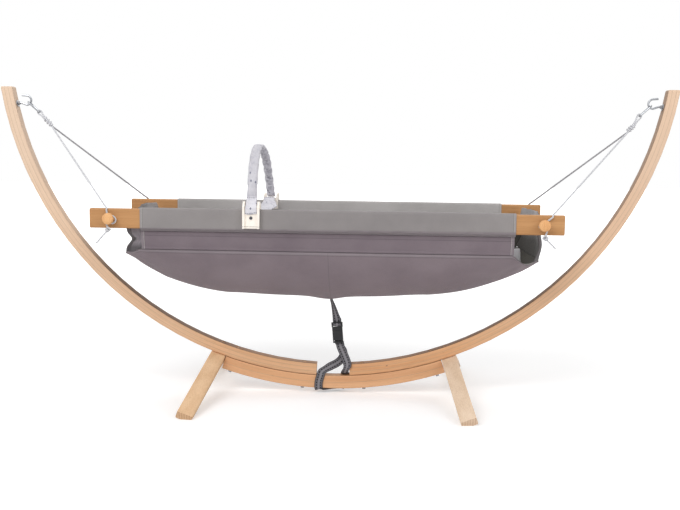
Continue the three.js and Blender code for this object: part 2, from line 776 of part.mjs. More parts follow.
// Length of the cloth bottom beyond a sleeve at a given y
function bodyEnd(name, y) {
  const mid = 1 - (y / seamY) ** 2;
  return sleeveHalf + THREE.MathUtils.lerp(bodyCornerReach[name], bodyEndReach[name], mid);
}

// Height of the cloth bottom in the hammock axes, with its free corners dipping beyond the side walls
function bodyHeight(x, y) {
  const name = endName(x);
  const far = Math.abs(x);
  const beyond = Math.max(far - bodyEndMost + bodyRiseLong, 0) / bodyRiseLong;
  const depth = bodyDepth - bodyRise * beyond ** 1.5;
  const pulled = pullDepth * Math.exp(-((x / pullReach) ** 2)) * Math.exp(-((y / pullReach) ** 2));
  const past = Math.min(Math.max(far - sleeveHalf, 0) / bodyCornerReach[name], 1);
  const dip = cornerDip[name] * Math.sin(Math.PI * past) ** 2 * (y / seamY) ** dipPower;
  const bowl = (depth + seamZ) * (1 - Math.abs(y / seamY) ** bodyPower);
  return seamZ - gap - panelThick / 2 - bowl - pulled - dip;
}

// Point of the cloth bottom, narrowed a little beyond the side walls
function bodyPoint(x, y) {
  const past = Math.max(Math.abs(x) - sleeveHalf, 0) / bodyCornerReach[endName(x)];
  const drawn = y * (1 - (cornerDraw / seamY) * Math.min(past, 1));
  return vec(x, drawn, bodyHeight(x, y));
}

function bottomPanel() {
  const surface = (u, v) => {
    const y = seamY * (2 * v - 1);
    const share = Math.sin(Math.PI * (u - 0.5));
    return bodyPoint(share * bodyEnd(endName(share), y), y);
  };
  return cloth(surface, 24, 12, () => panelThick).applyMatrix4(hammockMatrix);
}

// Side wall from the hem of a sleeve to the piped seam, its lower edge a thick bead
function sidePanel(way) {
  const top = -sleeveHem - gap;
  const belly = panelThick;
  const surface = (u, v) => {
    const y = THREE.MathUtils.lerp(stitchY, seamY, v) + belly * Math.sin(Math.PI * v);
    return vec(sleeveHalf * (2 * u - 1), way * y, THREE.MathUtils.lerp(top, seamZ, v));
  };
  const thickness = (u, v) => (v > 0.85 ? pipingThick : panelThick);
  return cloth(surface, 10, 6, thickness).applyMatrix4(hammockMatrix);
}

// End flap standing on the end seam of the bottom; where it wraps round its corners it falls in folds
function endPanel(name) {
  const side = sides[name];
  const endSteps = 14;
  const wrapSteps = endWrap[name] > 0 ? 4 : 0;
  const steps = endSteps + 2 * wrapSteps;
  const surface = (u, v) => {
    const at = u * steps - steps / 2;
    const across = THREE.MathUtils.clamp((2 * at) / endSteps, -1, 1);
    const wrapped = Math.max(Math.abs(at) - endSteps / 2, 0) / Math.max(wrapSteps, 1);
    const y = seamY * across;
    const mid = 1 - across ** 2;
    const foot = bodyPoint(side * (bodyEnd(name, y) - panelThick - endWrap[name] * wrapped), y);
    const topX = sleeveHalf + endTopReach[name] + endBulge * mid;
    const top = topX - (topX - Math.abs(foot.x)) * Math.min(2 * wrapped, 1);
    const z = THREE.MathUtils.lerp(foot.z + endLift, endHump * mid - endTopDrop, v);
    const waist = Math.exp(-(((v - 0.55) / 0.25) ** 2));
    const pinch = endPinch[name] * (1 - mid) * (1 - wrapped) * waist;
    const folds = endFold * Math.sin(2.5 * Math.PI * across) * Math.sin(Math.PI * v);
    const pleat = wrapFold * Math.sin(2 * Math.PI * wrapped) * Math.sin(Math.PI * v);
    const x = THREE.MathUtils.lerp(Math.abs(foot.x), top, v) - pinch + folds;
    return vec(side * x, foot.y - Math.sign(across) * (pleat + wrapFold * wrapped), z);
  };
  return cloth(surface, steps, 8, () => panelThick).applyMatrix4(hammockMatrix);
}

// Soft pad lying in the cloth bottom, thinner towards its edges
function mattress() {
  const half = sleeveHalf + mattressOver;
  const at = (u, v) => [half * (2 * u - 1), mattressHalfWide * (2 * v - 1)];
  const lower = (u, v) => {
    const [x, y] = at(u, v);
    return bodyPoint(x, y).add(vec(0, 0, panelThick / 2 + mattressRest));
  };
  const upper = (u, v) => {
    const [x, y] = at(u, v);
    const full = (1 - (2 * u - 1) ** 8) * (1 - (2 * v - 1) ** 6);
    const thick = mattressThick * (0.35 + 0.65 * Math.sqrt(Math.max(full, 0)));
    return lower(u, v).add(vec(-x * 0.01, -y * 0.03, thick));
  };
  return shell(upper, lower, 16, 9).applyMatrix4(hammockMatrix);
}

// Buckle axes: origin at the foot of the socket, +Z along the strap
const buckleMatrix = new THREE.Matrix4().makeRotationY(buckleLean);
buckleMatrix.setPosition(buckleX + 2 * gap, buckleY, buckleZ);

function buckleSocket() {
  const half = buckleWide / 2;
  const deep = buckleThick / 2;
  const body = roundedOutline(buckleThick, buckleWide, socketWall);
  const place = (z) => (a, b) => vec(b, a - deep, z);
  const shape = sweep(body, [place(0), place(buckleTall)]);
  const barTop = barHigh + slotHigh;
  const cavityFrom = barTop + socketWall;
  const inner = vec(half - socketWall, deep - socketWall, buckleTall + overrun);
  const cavity = block(vec(-inner.x, -inner.y, cavityFrom), inner);
  const windowFrom = cavityFrom + 2 * socketWall;
  const windowTo = buckleTall - 2 * socketWall;
  const window = block(vec(-half - overrun, -inner.y, windowFrom), vec(half + overrun, inner.y, windowTo));
  const slotX = half - socketWall;
  const slot = block(vec(-slotX, -buckleThick, barHigh), vec(slotX, buckleThick, barTop));
  return cut(shape, cavity, window, slot).applyMatrix4(buckleMatrix);
}

function bucklePlug() {
  const half = buckleWide / 2;
  const inside = half - socketWall - 2 * gap;
  const deep = buckleThick / 2 - socketWall - 2 * gap;
  const foot = barHigh + slotHigh + 3 * socketWall;
  const seat = buckleTall + 2 * gap;
  const baseTop = seat + plugBase;
  const base = block(vec(-half, -buckleThick / 2, seat), vec(half, buckleThick / 2, baseTop));
  const prongs = [[-inside, prongWide - inside], [-prongWide / 2, prongWide / 2]];
  prongs.push([inside - prongWide, inside]);
  const legs = prongs.map(([from, to]) => block(vec(from, -deep, foot), vec(to, deep, baseTop - gap)));
  const ladderHalf = half + socketWall / 2;
  const flat = ladderThick / 2;
  const frameTop = baseTop + ladderTall;
  const frame = block(vec(-ladderHalf, -flat, baseTop - gap), vec(ladderHalf, flat, frameTop));
  const slotX = half - socketWall;
  const slots = [baseTop + gap, baseTop + gap + ladderBar + barHigh].map((from) => {
    return block(vec(-slotX, -buckleThick, from), vec(slotX, buckleThick, from + ladderBar));
  });
  return cut(join(base, frame, ...legs), ...slots).applyMatrix4(buckleMatrix);
}

// Turn of webbing through the two slots of the plug and round its middle bar, the free tail behind
function plugWrap() {
  const lower = buckleTall + 2 * gap + plugBase + gap + ladderBar / 2;
  const upper = lower + ladderBar + barHigh;
  const bar = (lower + upper) / 2;
  const off = ladderThick / 2 + webThick / 2 + gap;
  const edge = ladderThick / 2;
  const tail = off + 2.4 * webThick;
  const route = [[off, wrapTop()], [off, upper + ladderBar / 2], [edge, upper + gap], [-edge, upper - gap]];
  route.push([-off, bar + webThick], [-off, bar - webThick], [-edge, lower + gap], [edge, lower - gap]);
  route.push([off, lower + gap], [tail, bar], [tail, upper + ladderBar]);
  route.push([tail - gap, wrapTop() + webWide / 3]);
  const across = vec(webWide, 0, 0);
  const stations = route.map(([y, z], i) => ({ at: vec(i > 8 ? (i - 8) * gap : 0, y, z), wide: across }));
  return band(stations, webThick, 33).applyMatrix4(buckleMatrix);
}

// Height in the buckle axes at which the load strand leaves the plug
function wrapTop() {
  return buckleTall + 2 * gap + plugBase + ladderTall + webThick;
}

const inBuckle = (x, y, z) => vec(x, y, z).applyMatrix4(buckleMatrix);

// Webbing from the seam under the cloth bottom to the plug, turned edge-on at the seam
function strapUpper() {
  const foot = inBuckle(0, ladderThick / 2 + webThick / 2 + gap, wrapTop() + 3 * gap);
  const start = inBuckle(0, ladderThick / 2 + webThick / 2 + gap, wrapTop() + webWide / 4);
  const seamX = hammockX + webThick * 4;
  const seam = vec(seamX, buckleY, hammockZ + bodyHeight(0, buckleY) - panelThick / 2);
  const quarter = foot.clone().lerp(seam, 0.35).add(vec(webThick, -webThick, 0));
  const threeQuarter = foot.clone().lerp(seam, 0.75).add(vec(webThick, -webThick / 2, 0));
  const stations = [foot, start].map((at) => ({ at, wide: vec(webWide, 0, 0) }));
  stations.push({ at: quarter, wide: vec(webWide * 0.8, -webWide / 3, 0) });
  stations.push({ at: threeQuarter, wide: vec(webWide / 2, -webWide / 2, 0) });
  stations.push({ at: seam, wide: vec(webWide / 3, -webWide / 3, 0) });
  return band(stations, webThick, 10);
}

// Loop of webbing from the socket round the lower piece of the stand and back to the socket
function strapLower() {
  const off = webThick / 2 + 4 * gap;
  const front = -armWide / 2 - off;
  const back = -front;
  const topAt = (x) => onArc(armRadius, angleOf(Math.abs(x) + webWide / 2)).z + off;
  const foot = floorClear - off;
  const flat = vec(webWide, 0, 0);
  const ease = armRound;
  const leave = inBuckle(webWide / 5, -webThick, -2 * webThick);
  const bend = inBuckle(webWide / 4, -webThick, -webWide / 2);
  const arrive = inBuckle(2.5 * webThick, 2 * webThick, -3 * webThick);
  const downTop = topAt(strapDownX);
  const upTop = topAt(strapUpX);
  const middle = (downTop + foot) / 2;
  const diagonal = vec(webWide * 0.8, -webWide * 0.6, 0);
  const route = [
    [strapDownX, back / 3, downTop, flat],
    [strapDownX, back - ease, downTop, flat],
    [strapDownX, back, downTop - ease, flat],
    [strapDownX - 2 * ease, back, middle, flat],
    [strapDownX - 3 * ease, back, foot + ease / 2, flat],
    [strapDownX - 3.5 * ease, back - ease / 2, foot, flat],
    [strapUpX / 4, 0, foot, diagonal],
    [strapUpX - ease, front + ease / 2, foot, flat],
    [strapUpX - 1.5 * ease, front, foot + ease / 2, flat],
    [strapUpX - 1.5 * ease, front, middle, flat],
    [strapUpX, front, upTop - ease, flat],
    [strapUpX + ease, front + ease, upTop + 2 * ease, flat],
  ];
  const across = vec(bend.z - downTop, 0, strapDownX - bend.x).normalize();
  const down = strapDown.map(([x, y, rise, wide]) => {
    const square = rise > webWide ? across : vec(1, 0, 0);
    return { at: vec(x, y, downTop + rise), wide: square.clone().multiplyScalar(wide) };
  });
  const stations = [{ at: leave, wide: flat }, { at: bend, wide: flat }, ...down];
  stations.push(...route.map(([x, y, z, wide]) => ({ at: vec(x, y, z), wide })));
  const climb = strapClimb.map(([x, y, rise]) => vec(x, y, upTop + rise));
  const along = [stations[stations.length - 1].at, ...climb, arrive];
  climb.forEach((at, i) => {
    const run = along[i + 2].clone().sub(along[i]).setY(0).normalize();
    stations.push({ at, wide: vec(run.z, 0, -run.x).multiplyScalar(webWide) });
  });
  stations.push({ at: arrive, wide: flat });
  return band(stations, webThick, 60);
}

// Padded hoop of the toy arch along its front and back legs
function archHoop() {
  const mid = archThick / 2;
  const outline = roundedOutline(archThick, archWide, archRound);
  const route = new THREE.CatmullRomCurve3([...archLegs, ...archBack].map(([y, z]) => vec(archX, y, z)));
  const steps = 22;
  const places = Array.from({ length: steps + 1 }, (_, i) => {
    const share = i / steps;
    const centre = route.getPointAt(share);
    const outward = route.getTangentAt(share).cross(vec(1, 0, 0));
    const end = Math.min(share, 1 - share) * steps;
    const fill = end < 1 ? 0.7 : 1;
    return (a, b) => centre.clone().addScaledVector(outward, (a - mid) * fill).add(vec(b * fill, 0, 0));
  });
  return sweep(outline, places).applyMatrix4(hammockMatrix);
}

// Saddle of the toy arch over a sleeved rail, with two ears that hold the leg
function archClip(way) {
  const off = 2 * gap + sleeveWall + clipSlide;
  const outerY = railOuter + off + clipWall;
  const innerY = railOuter - railThick - off - clipWall;
  const top = off + clipWall;
  const [legY, legZ] = way < 0 ? archLegs[0] : archBack[archBack.length - 1];
  const foot = -clipDrop;
  const ear = top + clipEar;
  const half = clipWide / 2;
  const saddle = [[outerY, foot], [outerY, top], [innerY, top], [innerY, foot + clipDrop / 2]];
  saddle.push([innerY + clipWall, foot + clipDrop / 2], [innerY + clipWall, off]);
  saddle.push([outerY - clipWall, off], [outerY - clipWall, foot]);
  const earOutline = [[outerY + clipWall, foot], [outerY + clipWall, top], [outerY, ear - clipEarSlant]];
  earOutline.push([outerY - clipWall, ear], [innerY + clipWall / 2, ear - clipEarSlant], [innerY, top - gap]);
  earOutline.push([outerY - gap, top - gap], [outerY - gap, foot]);
  const slice = (outline, from, to) => {
    const places = [from, to].map((x) => (y, z) => vec(archX + x, way * y, z));
    return sweep(outline, places);
  };
  const ears = [slice(earOutline, -half, clipWall - half), slice(earOutline, half - clipWall, half)];
  return join(slice(saddle, -half, half), ...ears).applyMatrix4(hammockMatrix);
}

// Stud that holds the leg cloth on the outer face of a saddle
function archButton(way) {
  const outerY = railOuter + 2 * gap + sleeveWall + clipSlide + clipWall;
  const profile = [[0, gap], [buttonRadius, gap], [buttonRadius, buttonTall / 2]];
  profile.push([buttonRadius / 2, buttonTall], [0, buttonTall]);
  const at = vec(archX, way * outerY, -clipDrop / 2.5);
  return placed(turned(profile, 14), at, vec(0, way, 0)).applyMatrix4(hammockMatrix);
}

// Flat band between the two saddles, a little below the tops of the rails
function archBand() {
  const end = railOuter - railThick - sleeveWall - clipSlide - clipWall - 3 * gap;
  const sag = archBandThick * 2;
  const across = vec(archBandWide, 0, 0);
  const stations = [-1, -0.5, 0, 0.5, 1].map((share) => {
    return { at: vec(archX, end * share, -sag * (2 - share * share)), wide: across };
  });
  return band(stations, archBandThick, 10).applyMatrix4(hammockMatrix);
}

for (const [name, side] of Object.entries(sides)) {
  add(`arm_${name}`, arm(side), wood);
  add(`foot_${name}`, foot(side), wood);
  radialBolt(`splice_outer_${name}`, side * angleOf(spliceOuter), lowerThick);
  radialBolt(`splice_inner_${name}`, side * angleOf(spliceInner), lowerThick);
  radialBolt(`foot_${name}`, side * footAngle, footMiddleThick);
  add(`hook_${name}`, hook(side), zinc, 0.35, 0.85);
  add(`hook_nut_${name}`, hookNut(side), zinc, 0.4, 0.8);
  add(`hook_washer_${name}`, hookWasher(side), zinc, 0.4, 0.8);
  add(`snap_hook_${name}`, snapHook(side), zinc, 0.35, 0.85);
  add(`snap_gate_${name}`, snapGate(side), zinc, 0.35, 0.85);
  add(`rope_loop_${name}`, ropeLoop(name), rope, 0.9);
  add(`end_panel_${name}`, endPanel(name), clothViolet, 0.9);
}
add('lower_arc', lowerArc(), wood);

for (const [face, way] of [['front', -1], ['rear', 1]]) {
  for (const [name, side] of Object.entries(sides)) {
    add(`rope_${face}_${name}`, hangingRope(name, way), rope, 0.9);
    add(`peg_${face}_${name}`, peg(side, way), pegWood, 0.6);
  }
  add(`rail_${face}`, rail(way), railWood, 0.6);
  add(`sleeve_${face}`, sleeve(way), clothGrey, 0.9);
  add(`side_panel_${face}`, sidePanel(way), clothViolet, 0.9);
  add(`arch_clip_${face}`, archClip(way), cream, 0.8);
  add(`arch_button_${face}`, archButton(way), darkStud, 0.5);
}
add('bottom_panel', bottomPanel(), clothViolet, 0.9);
add('mattress', mattress(), clothWhite, 0.9);
add('strap_upper', strapUpper(), webbing, 0.8);
add('strap_lower', strapLower(), webbing, 0.8);
add('plug_webbing', plugWrap(), webbing, 0.8);
add('buckle_socket', buckleSocket(), blackPlastic, 0.45);
add('buckle_plug', bucklePlug(), blackPlastic, 0.45);
add('arch_hoop', archHoop(), hoopCloth, 0.9);
add('arch_band', archBand(), cream, 0.9);

export default part;
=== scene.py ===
import math

import bpy
import numpy as np
from mathutils import Matrix, Vector

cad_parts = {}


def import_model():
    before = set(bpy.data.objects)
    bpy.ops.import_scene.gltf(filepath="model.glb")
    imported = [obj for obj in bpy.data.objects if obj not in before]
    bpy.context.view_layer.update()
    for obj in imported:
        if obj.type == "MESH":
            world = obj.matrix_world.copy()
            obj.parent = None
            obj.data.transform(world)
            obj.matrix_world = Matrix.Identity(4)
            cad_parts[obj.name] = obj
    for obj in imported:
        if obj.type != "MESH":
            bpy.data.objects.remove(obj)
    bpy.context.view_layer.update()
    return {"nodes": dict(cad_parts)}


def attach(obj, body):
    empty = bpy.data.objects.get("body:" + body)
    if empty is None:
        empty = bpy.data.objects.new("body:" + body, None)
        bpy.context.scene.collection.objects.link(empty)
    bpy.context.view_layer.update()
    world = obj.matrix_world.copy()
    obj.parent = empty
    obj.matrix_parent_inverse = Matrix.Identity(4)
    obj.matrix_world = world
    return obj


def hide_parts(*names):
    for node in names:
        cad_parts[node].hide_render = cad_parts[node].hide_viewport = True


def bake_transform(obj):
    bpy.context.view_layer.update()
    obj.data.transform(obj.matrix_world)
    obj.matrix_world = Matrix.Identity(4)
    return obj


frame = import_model()
MM = 0.001

# Sizes repeated from the part's source, in millimetres
ARM_RADIUS, ARM_DEEP, ARM_WIDE, ARM_ROUND = 1010.0, 35.0, 35.0, 3.5
LOWER_THICK, FLOOR_CLEAR, GAP = 40.0, 12.0, 0.3
ARC_Z = FLOOR_CLEAR + LOWER_THICK + GAP + ARM_RADIUS
HAMMOCK_X, HAMMOCK_Z, HAMMOCK_TILT = -13.5, 564.0, math.radians(0.25)
RAIL_HIGH, RAIL_THICK, RAIL_OUTER, RAIL_ROUND = 55.0, 20.0, 238.0, 4.0
SLEEVE_HALF, SLEEVE_WALL, SLEEVE_HEM = 519.0, 2.3, 62.0
PEG_X, PEG_NECK, PEG_NECK_LONG, WRAP_SLACK = SLEEVE_HALF + 80.0, 7.0, 15.0, 0.8
PANEL_THICK, STITCH_Y, SEAM_Y, SEAM_Z, PIPING = 2.4, 225.0, 215.0, -113.0, 5.0
BODY_DEPTH, BODY_RISE_LONG, BODY_RISE, BODY_POWER = 265.0, 325.0, 112.0, 2.2
DIP_POWER, CORNER_DRAW, PULL_DEPTH = 8, 10.0, 11.0
END_TOP = {"left": 46.0, "right": 74.0}
END_BULGE, END_DROP, END_HUMP, END_FOLD = 14.0, 9.0, 5.0, 3.0
PAD_HALF, PAD_HALF_WIDE, PAD_THICK, PAD_REST = SLEEVE_HALF + 16.0, 165.0, 48.0, 3.6
ARCH_X, ARCH_WIDE, ARCH_THICK = -202.5, 33.0, 16.0
ROPE_R, ROPE_PAIR, SNAP_WIRE = 2.4, 2.7, 2.5
WEB_WIDE, WEB_THICK = 25.0, 1.6

# Sizes in which the dressed cloth departs from its solids, in millimetres
BODY_END = {"left": 81.0, "right": 98.0}
BODY_CORNER = {"left": 41.5, "right": 62.0}
BODY_MOST = SLEEVE_HALF + max(BODY_END.values())
CORNER_DIP, PULL_REACH = {"left": 9.0, "right": 27.0}, 42.0
END_RAISE, RAISE_LONG = {"left": 30.0, "right": 11.0}, {"left": 122.0, "right": 55.0}
BELLY_TUCK, TUCK_AT, TUCK_REACH = {"left": 6.0, "right": 10.0}, 290.0, 110.0
END_PINCH, END_LIFT = {"left": 27.0, "right": -12.0}, 1.6
END_WRAP, WRAP_FOLD = {"left": 50.0, "right": 62.0}, 1.8
FLAP_SAG, FLAP_REAR_DROP = {"left": 13.0, "right": 0.0}, {"left": 42.0, "right": 38.0}
SLEEVE_SHIFT, SIDE_SHIFT = {"front": 5.0, "rear": 14.0}, 4.0
PAD_SHRINK, PAD_SHIFT, PAD_CURL = 3.0, 21.0, 9.0
TIP_ROUND, SHEET_THICK = 4.0, 2.0

# Steps of a flap over its front wrap, its end seam and its rear wrap, and shares of its height
WRAP_STEPS, SEAM_STEPS, WRAP_LONG = {"left": (4, 4), "right": (0, 4)}, 14, 4
END_WAIST, WAIST_LONG = 0.34, {"left": 0.14, "right": 0.24}

SIDES = {"left": -1, "right": 1}
ENDS = {"front": -1, "rear": 1}
RIPPLE_WAVES, NO_STEP, AREA_GRID = 5, 1e-4, (120, 60)
HAMMOCK = Matrix.Translation((HAMMOCK_X, 0, HAMMOCK_Z)) @ Matrix.Rotation(HAMMOCK_TILT, 4, "Y")


def vec(*parts):
    return np.array(parts, float)


def to_world(points):
    m = np.array(HAMMOCK)
    return points @ m[:3, :3].T + m[:3, 3]


def on_hammock(x, y, z):
    return to_world(vec(x, y, z)[None])[0]


def srgb(r, g, b):
    def one(c):
        c = c / 255
        return c / 12.92 if c <= 0.04045 else ((c + 0.055) / 1.055) ** 2.4
    return (one(r), one(g), one(b), 1.0)


def set_layer(mesh, name, values):
    layer = mesh.uv_layers.new(name=name)
    corners = np.empty(len(mesh.loops), int)
    mesh.loops.foreach_get("vertex_index", corners)
    layer.data.foreach_set("uv", np.asarray(values, np.float32)[corners].ravel())


def add_mesh(name, points, faces, body, materials, uvs=None, edge=None, inner=None):
    """Smooth mesh from points in millimetres, riding on a body; inner is the slice of faces of the second
    material."""
    mesh = bpy.data.meshes.new(name)
    mesh.from_pydata((np.asarray(points) * MM).tolist(), [], faces)
    if uvs is not None:
        set_layer(mesh, "UVMap", uvs)
    if edge is not None:
        set_layer(mesh, "edge", edge)
    mesh.polygons.foreach_set("use_smooth", [True] * len(mesh.polygons))
    for mat in materials:
        mesh.materials.append(mat)
    if inner is not None:
        slots = np.zeros(len(mesh.polygons), int)
        slots[inner] = 1
        mesh.polygons.foreach_set("material_index", slots)
    obj = bpy.data.objects.new(name, mesh)
    bpy.context.scene.collection.objects.link(obj)
    if body:
        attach(obj, body)
    return obj


def grid_faces(rows, cols, offset=0, flip=False):
    faces = []
    for i in range(rows - 1):
        for j in range(cols - 1):
            a = offset + i * cols + j
            quad = (a, a + cols, a + cols + 1, a + 1)
            faces.append(quad[::-1] if flip else quad)
    return faces


def rim_faces(rows, cols):
    """Faces that close the rim between two grids of points, one after the other."""
    count = rows * cols
    ring = [i * cols for i in range(rows)]
    ring += [(rows - 1) * cols + j for j in range(1, cols)]
    ring += [i * cols + cols - 1 for i in range(rows - 2, -1, -1)]
    ring += [j for j in range(cols - 2, 0, -1)]
    return [(b, a, a + count, b + count) for a, b in zip(ring, ring[1:] + ring[:1])]


def shell_faces(rows, cols):
    """Faces of a closed sheet whose two grids of points follow each other."""
    return grid_faces(rows, cols) + grid_faces(rows, cols, rows * cols, True) + rim_faces(rows, cols)


def ring_faces(rows, count, offset=0, flip=False):
    """Faces of a tube whose rings of points follow each other."""
    faces = []
    for i in range(rows - 1):
        for j in range(count):
            a = offset + i * count + j
            b = offset + i * count + (j + 1) % count
            faces.append((a, a + count, b + count, b) if flip else (a, b, b + count, a + count))
    return faces


def unit_grid(rows, cols):
    return np.meshgrid(np.linspace(0, 1, rows), np.linspace(0, 1, cols), indexing="ij")


def run_lengths(middle, axis):
    """Length along one axis of a grid of points, from its first row or column."""
    steps = np.linalg.norm(np.diff(middle, axis=axis), axis=2)
    start = np.zeros_like(np.take(steps, [0], axis=axis))
    return np.concatenate([start, np.cumsum(steps, axis=axis)], axis=axis) * MM


def cloth_shell(surface, rows, cols, thickness):
    """Points, faces, cloth coordinates and edge distances of a closed cloth about surface(u, v)."""
    u, v = unit_grid(rows, cols)
    middle = surface(u, v)
    normal = np.cross(np.gradient(middle, axis=0), np.gradient(middle, axis=1))
    normal /= np.linalg.norm(normal, axis=2, keepdims=True) + 1e-12
    half = (thickness(u, v) if callable(thickness) else np.full(u.shape, thickness))[..., None] / 2
    upper = (middle + normal * half).reshape(-1, 3)
    lower = (middle - normal * half).reshape(-1, 3)
    along, across = run_lengths(middle, 0), run_lengths(middle, 1)
    uv = np.stack([along, across], axis=2).reshape(-1, 2)
    from_sides = np.minimum(across, across[:, -1:] - across)
    from_ends = np.minimum(along, along[-1:, :] - along)
    edge = np.stack([from_sides, from_ends], axis=2).reshape(-1, 2)
    twice = [np.concatenate([values, values]) for values in (uv, edge)]
    return np.concatenate([upper, lower]), shell_faces(rows, cols), *twice


def sheet_area(surface):
    p = surface(*unit_grid(*AREA_GRID))
    a = np.cross(p[1:, :-1] - p[:-1, :-1], p[:-1, 1:] - p[:-1, :-1])
    return float(np.linalg.norm(a, axis=2).sum()) * MM * MM


def smoothstep(low, high, value):
    t = np.clip((value - low) / (high - low), 0, 1)
    return t * t * (3 - 2 * t)


def bell(value):
    return np.exp(-(value ** 2))


def ripple(a, b, seed):
    """Smooth small waves between about -1 and 1, the same on every run."""
    rng = np.random.default_rng(seed)
    total = np.zeros(np.broadcast(a, b).shape)
    for _ in range(RIPPLE_WAVES):
        ka, kb = rng.uniform(-1, 1, 2)
        total = total + np.sin(a * ka + b * kb + rng.uniform(0, 6.28)) * rng.uniform(0.4, 1)
    return total / RIPPLE_WAVES


def unit_rows(vectors):
    return vectors / np.linalg.norm(vectors, axis=1, keepdims=True)


def unit(vector):
    return vector / np.linalg.norm(vector)


def lengths_along(line):
    """Length from the start of a line to each of its points."""
    return np.concatenate([[0], np.cumsum(np.linalg.norm(np.diff(line, axis=0), axis=1))])


def smooth_line(points, per_span):
    """Smooth line through points, each span eased by the distances on its two sides."""
    p = np.asarray(points, float)
    q = np.vstack([2 * p[0] - p[1], p, 2 * p[-1] - p[-2]])
    out = []
    for a, b, c, d in zip(q, q[1:], q[2:], q[3:]):
        first, mid, last = (np.linalg.norm(y - x) ** 0.5 for x, y in ((a, b), (b, c), (c, d)))
        mid = mid if mid > NO_STEP else 1.0
        first = first if first > NO_STEP else mid
        last = last if last > NO_STEP else mid
        lead = ((b - a) / first - (c - a) / (first + mid) + (c - b) / mid) * mid
        trail = ((c - b) / mid - (d - b) / (mid + last) + (d - c) / last) * mid
        for t in np.linspace(0, 1, per_span, endpoint=False):
            cubic = 2 * b - 2 * c + lead + trail
            square = 3 * c - 3 * b - 2 * lead - trail
            out.append(b + lead * t + square * t * t + cubic * t ** 3)
    out.append(p[-1])
    return np.array(out)


# Materials
class Term:
    """Output of a node that can stand in a formula, so that a material reads like one."""

    def __init__(self, socket):
        self.socket = socket

    def __add__(self, other):
        return calc("ADD", self, other)

    def __sub__(self, other):
        return calc("SUBTRACT", self, other)

    def __rsub__(self, other):
        return calc("SUBTRACT", other, self)

    def __mul__(self, other):
        return calc("MULTIPLY", self, other)

    def __truediv__(self, other):
        return calc("DIVIDE", self, other)

    def __lt__(self, other):
        return calc("LESS_THAN", self, other)

    def __gt__(self, other):
        return calc("GREATER_THAN", self, other)

    def __abs__(self):
        return calc("ABSOLUTE", self)


def feed(socket, value):
    """Links a term to a socket, or sets a constant on it."""
    if isinstance(value, Term):
        socket.id_data.links.new(value.socket, socket)
    else:
        socket.default_value = value


def node(tree, kind, inputs, **settings):
    n = tree.nodes.new(kind)
    for key, value in settings.items():
        setattr(n, key, value)
    for key, value in inputs.items():
        feed(n.inputs[key], value)
    return n


def tree_of(values):
    return next(value.socket.id_data for value in values if isinstance(value, Term))


def made(kind, inputs, **settings):
    """First output of a new node in the tree that its inputs come from."""
    return Term(node(tree_of(inputs.values()), kind, inputs, **settings).outputs[0])


def calc(operation, *values):
    return made("ShaderNodeMath", dict(enumerate(values)), operation=operation)


def wave(value, pitch):
    return calc("SINE", value * (2 * math.pi / pitch))


def distance(a, b):
    return calc("SQRT", a * a + b * b)


def near(value, target, half):
    """1 where the value lies within half of the target."""
    return abs(value - target) < half


def dashes(value, pitch, share):
    """1 over the first share of every pitch."""
    return calc("FRACT", value / pitch) < share


def fade(value, low, high, first=0.0, last=1.0):
    """From first to last while the value goes from low to high, and level beyond."""
    inputs = {"Value": value, "From Min": low, "From Max": high, "To Min": first, "To Max": last}
    return made("ShaderNodeMapRange", inputs)


def ramp(factor, *stops):
    n = node(tree_of([factor]), "ShaderNodeValToRGB", {0: factor})
    while len(n.color_ramp.elements) < len(stops):
        n.color_ramp.elements.new(0.5)
    for element, (at, colour) in zip(n.color_ramp.elements, stops):
        element.position = at
        element.color = colour
    return Term(n.outputs[0])


def mix(share, under, over, kind="MIX"):
    inputs = {0: share, 6: under, 7: over}
    n = node(tree_of(inputs.values()), "ShaderNodeMix", inputs, data_type="RGBA", blend_type=kind)
    return Term(n.outputs[2])


def split(vector):
    return [Term(out) for out in node(tree_of([vector]), "ShaderNodeSeparateXYZ", {0: vector}).outputs]


def joined(*parts):
    return made("ShaderNodeCombineXYZ", dict(enumerate(parts)))


def place(tree):
    """Place on the object in metres, whole and as x, y and z."""
    coords = Term(tree.nodes.new("ShaderNodeTexCoord").outputs["Object"])
    return coords, split(coords)


def cloth_place(tree, layer="UVMap"):
    """Place on the cloth, whole and in parts."""
    coords = Term(node(tree, "ShaderNodeUVMap", {}, uv_map=layer).outputs[0])
    return coords, split(coords)


def mapped(vector, scale):
    return made("ShaderNodeMapping", {"Vector": vector, "Scale": scale})


def noise(vector, scale, detail, roughness=0.55):
    inputs = {"Vector": vector, "Scale": scale, "Detail": detail, "Roughness": roughness}
    return made("ShaderNodeTexNoise", inputs)


def mottled(vector, scale, detail, dull, light):
    """Two colours in soft patches."""
    return ramp(noise(vector, scale, detail), (0.3, dull), (0.7, light))


def bump(height, strength, depth, under=None):
    inputs = {"Height": height, "Strength": strength, "Distance": depth}
    if under:
        inputs["Normal"] = under
    return made("ShaderNodeBump", inputs)


def material(name, roughness, metallic=0.0):
    mat = bpy.data.materials.new(name)
    mat.use_nodes = True
    tree = mat.node_tree
    tree.nodes.clear()
    shader = tree.nodes.new("ShaderNodeBsdfPrincipled")
    out = tree.nodes.new("ShaderNodeOutputMaterial")
    tree.links.new(shader.outputs[0], out.inputs[0])
    shader.inputs["Roughness"].default_value = roughness
    shader.inputs["Metallic"].default_value = metallic
    return mat, tree, shader.inputs


def clad(skin, colour, relief):
    feed(skin["Base Color"], colour)
    feed(skin["Normal"], relief)


def grey(value):
    return (value, value, value, 1.0)


def dimmed(colour, share):
    return tuple(c * share for c in colour[:3]) + (1.0,)


def halfway(a, b):
    return tuple((p + q) / 2 for p, q in zip(a, b))


BLACK, WHITE = grey(0.0), grey(1.0)


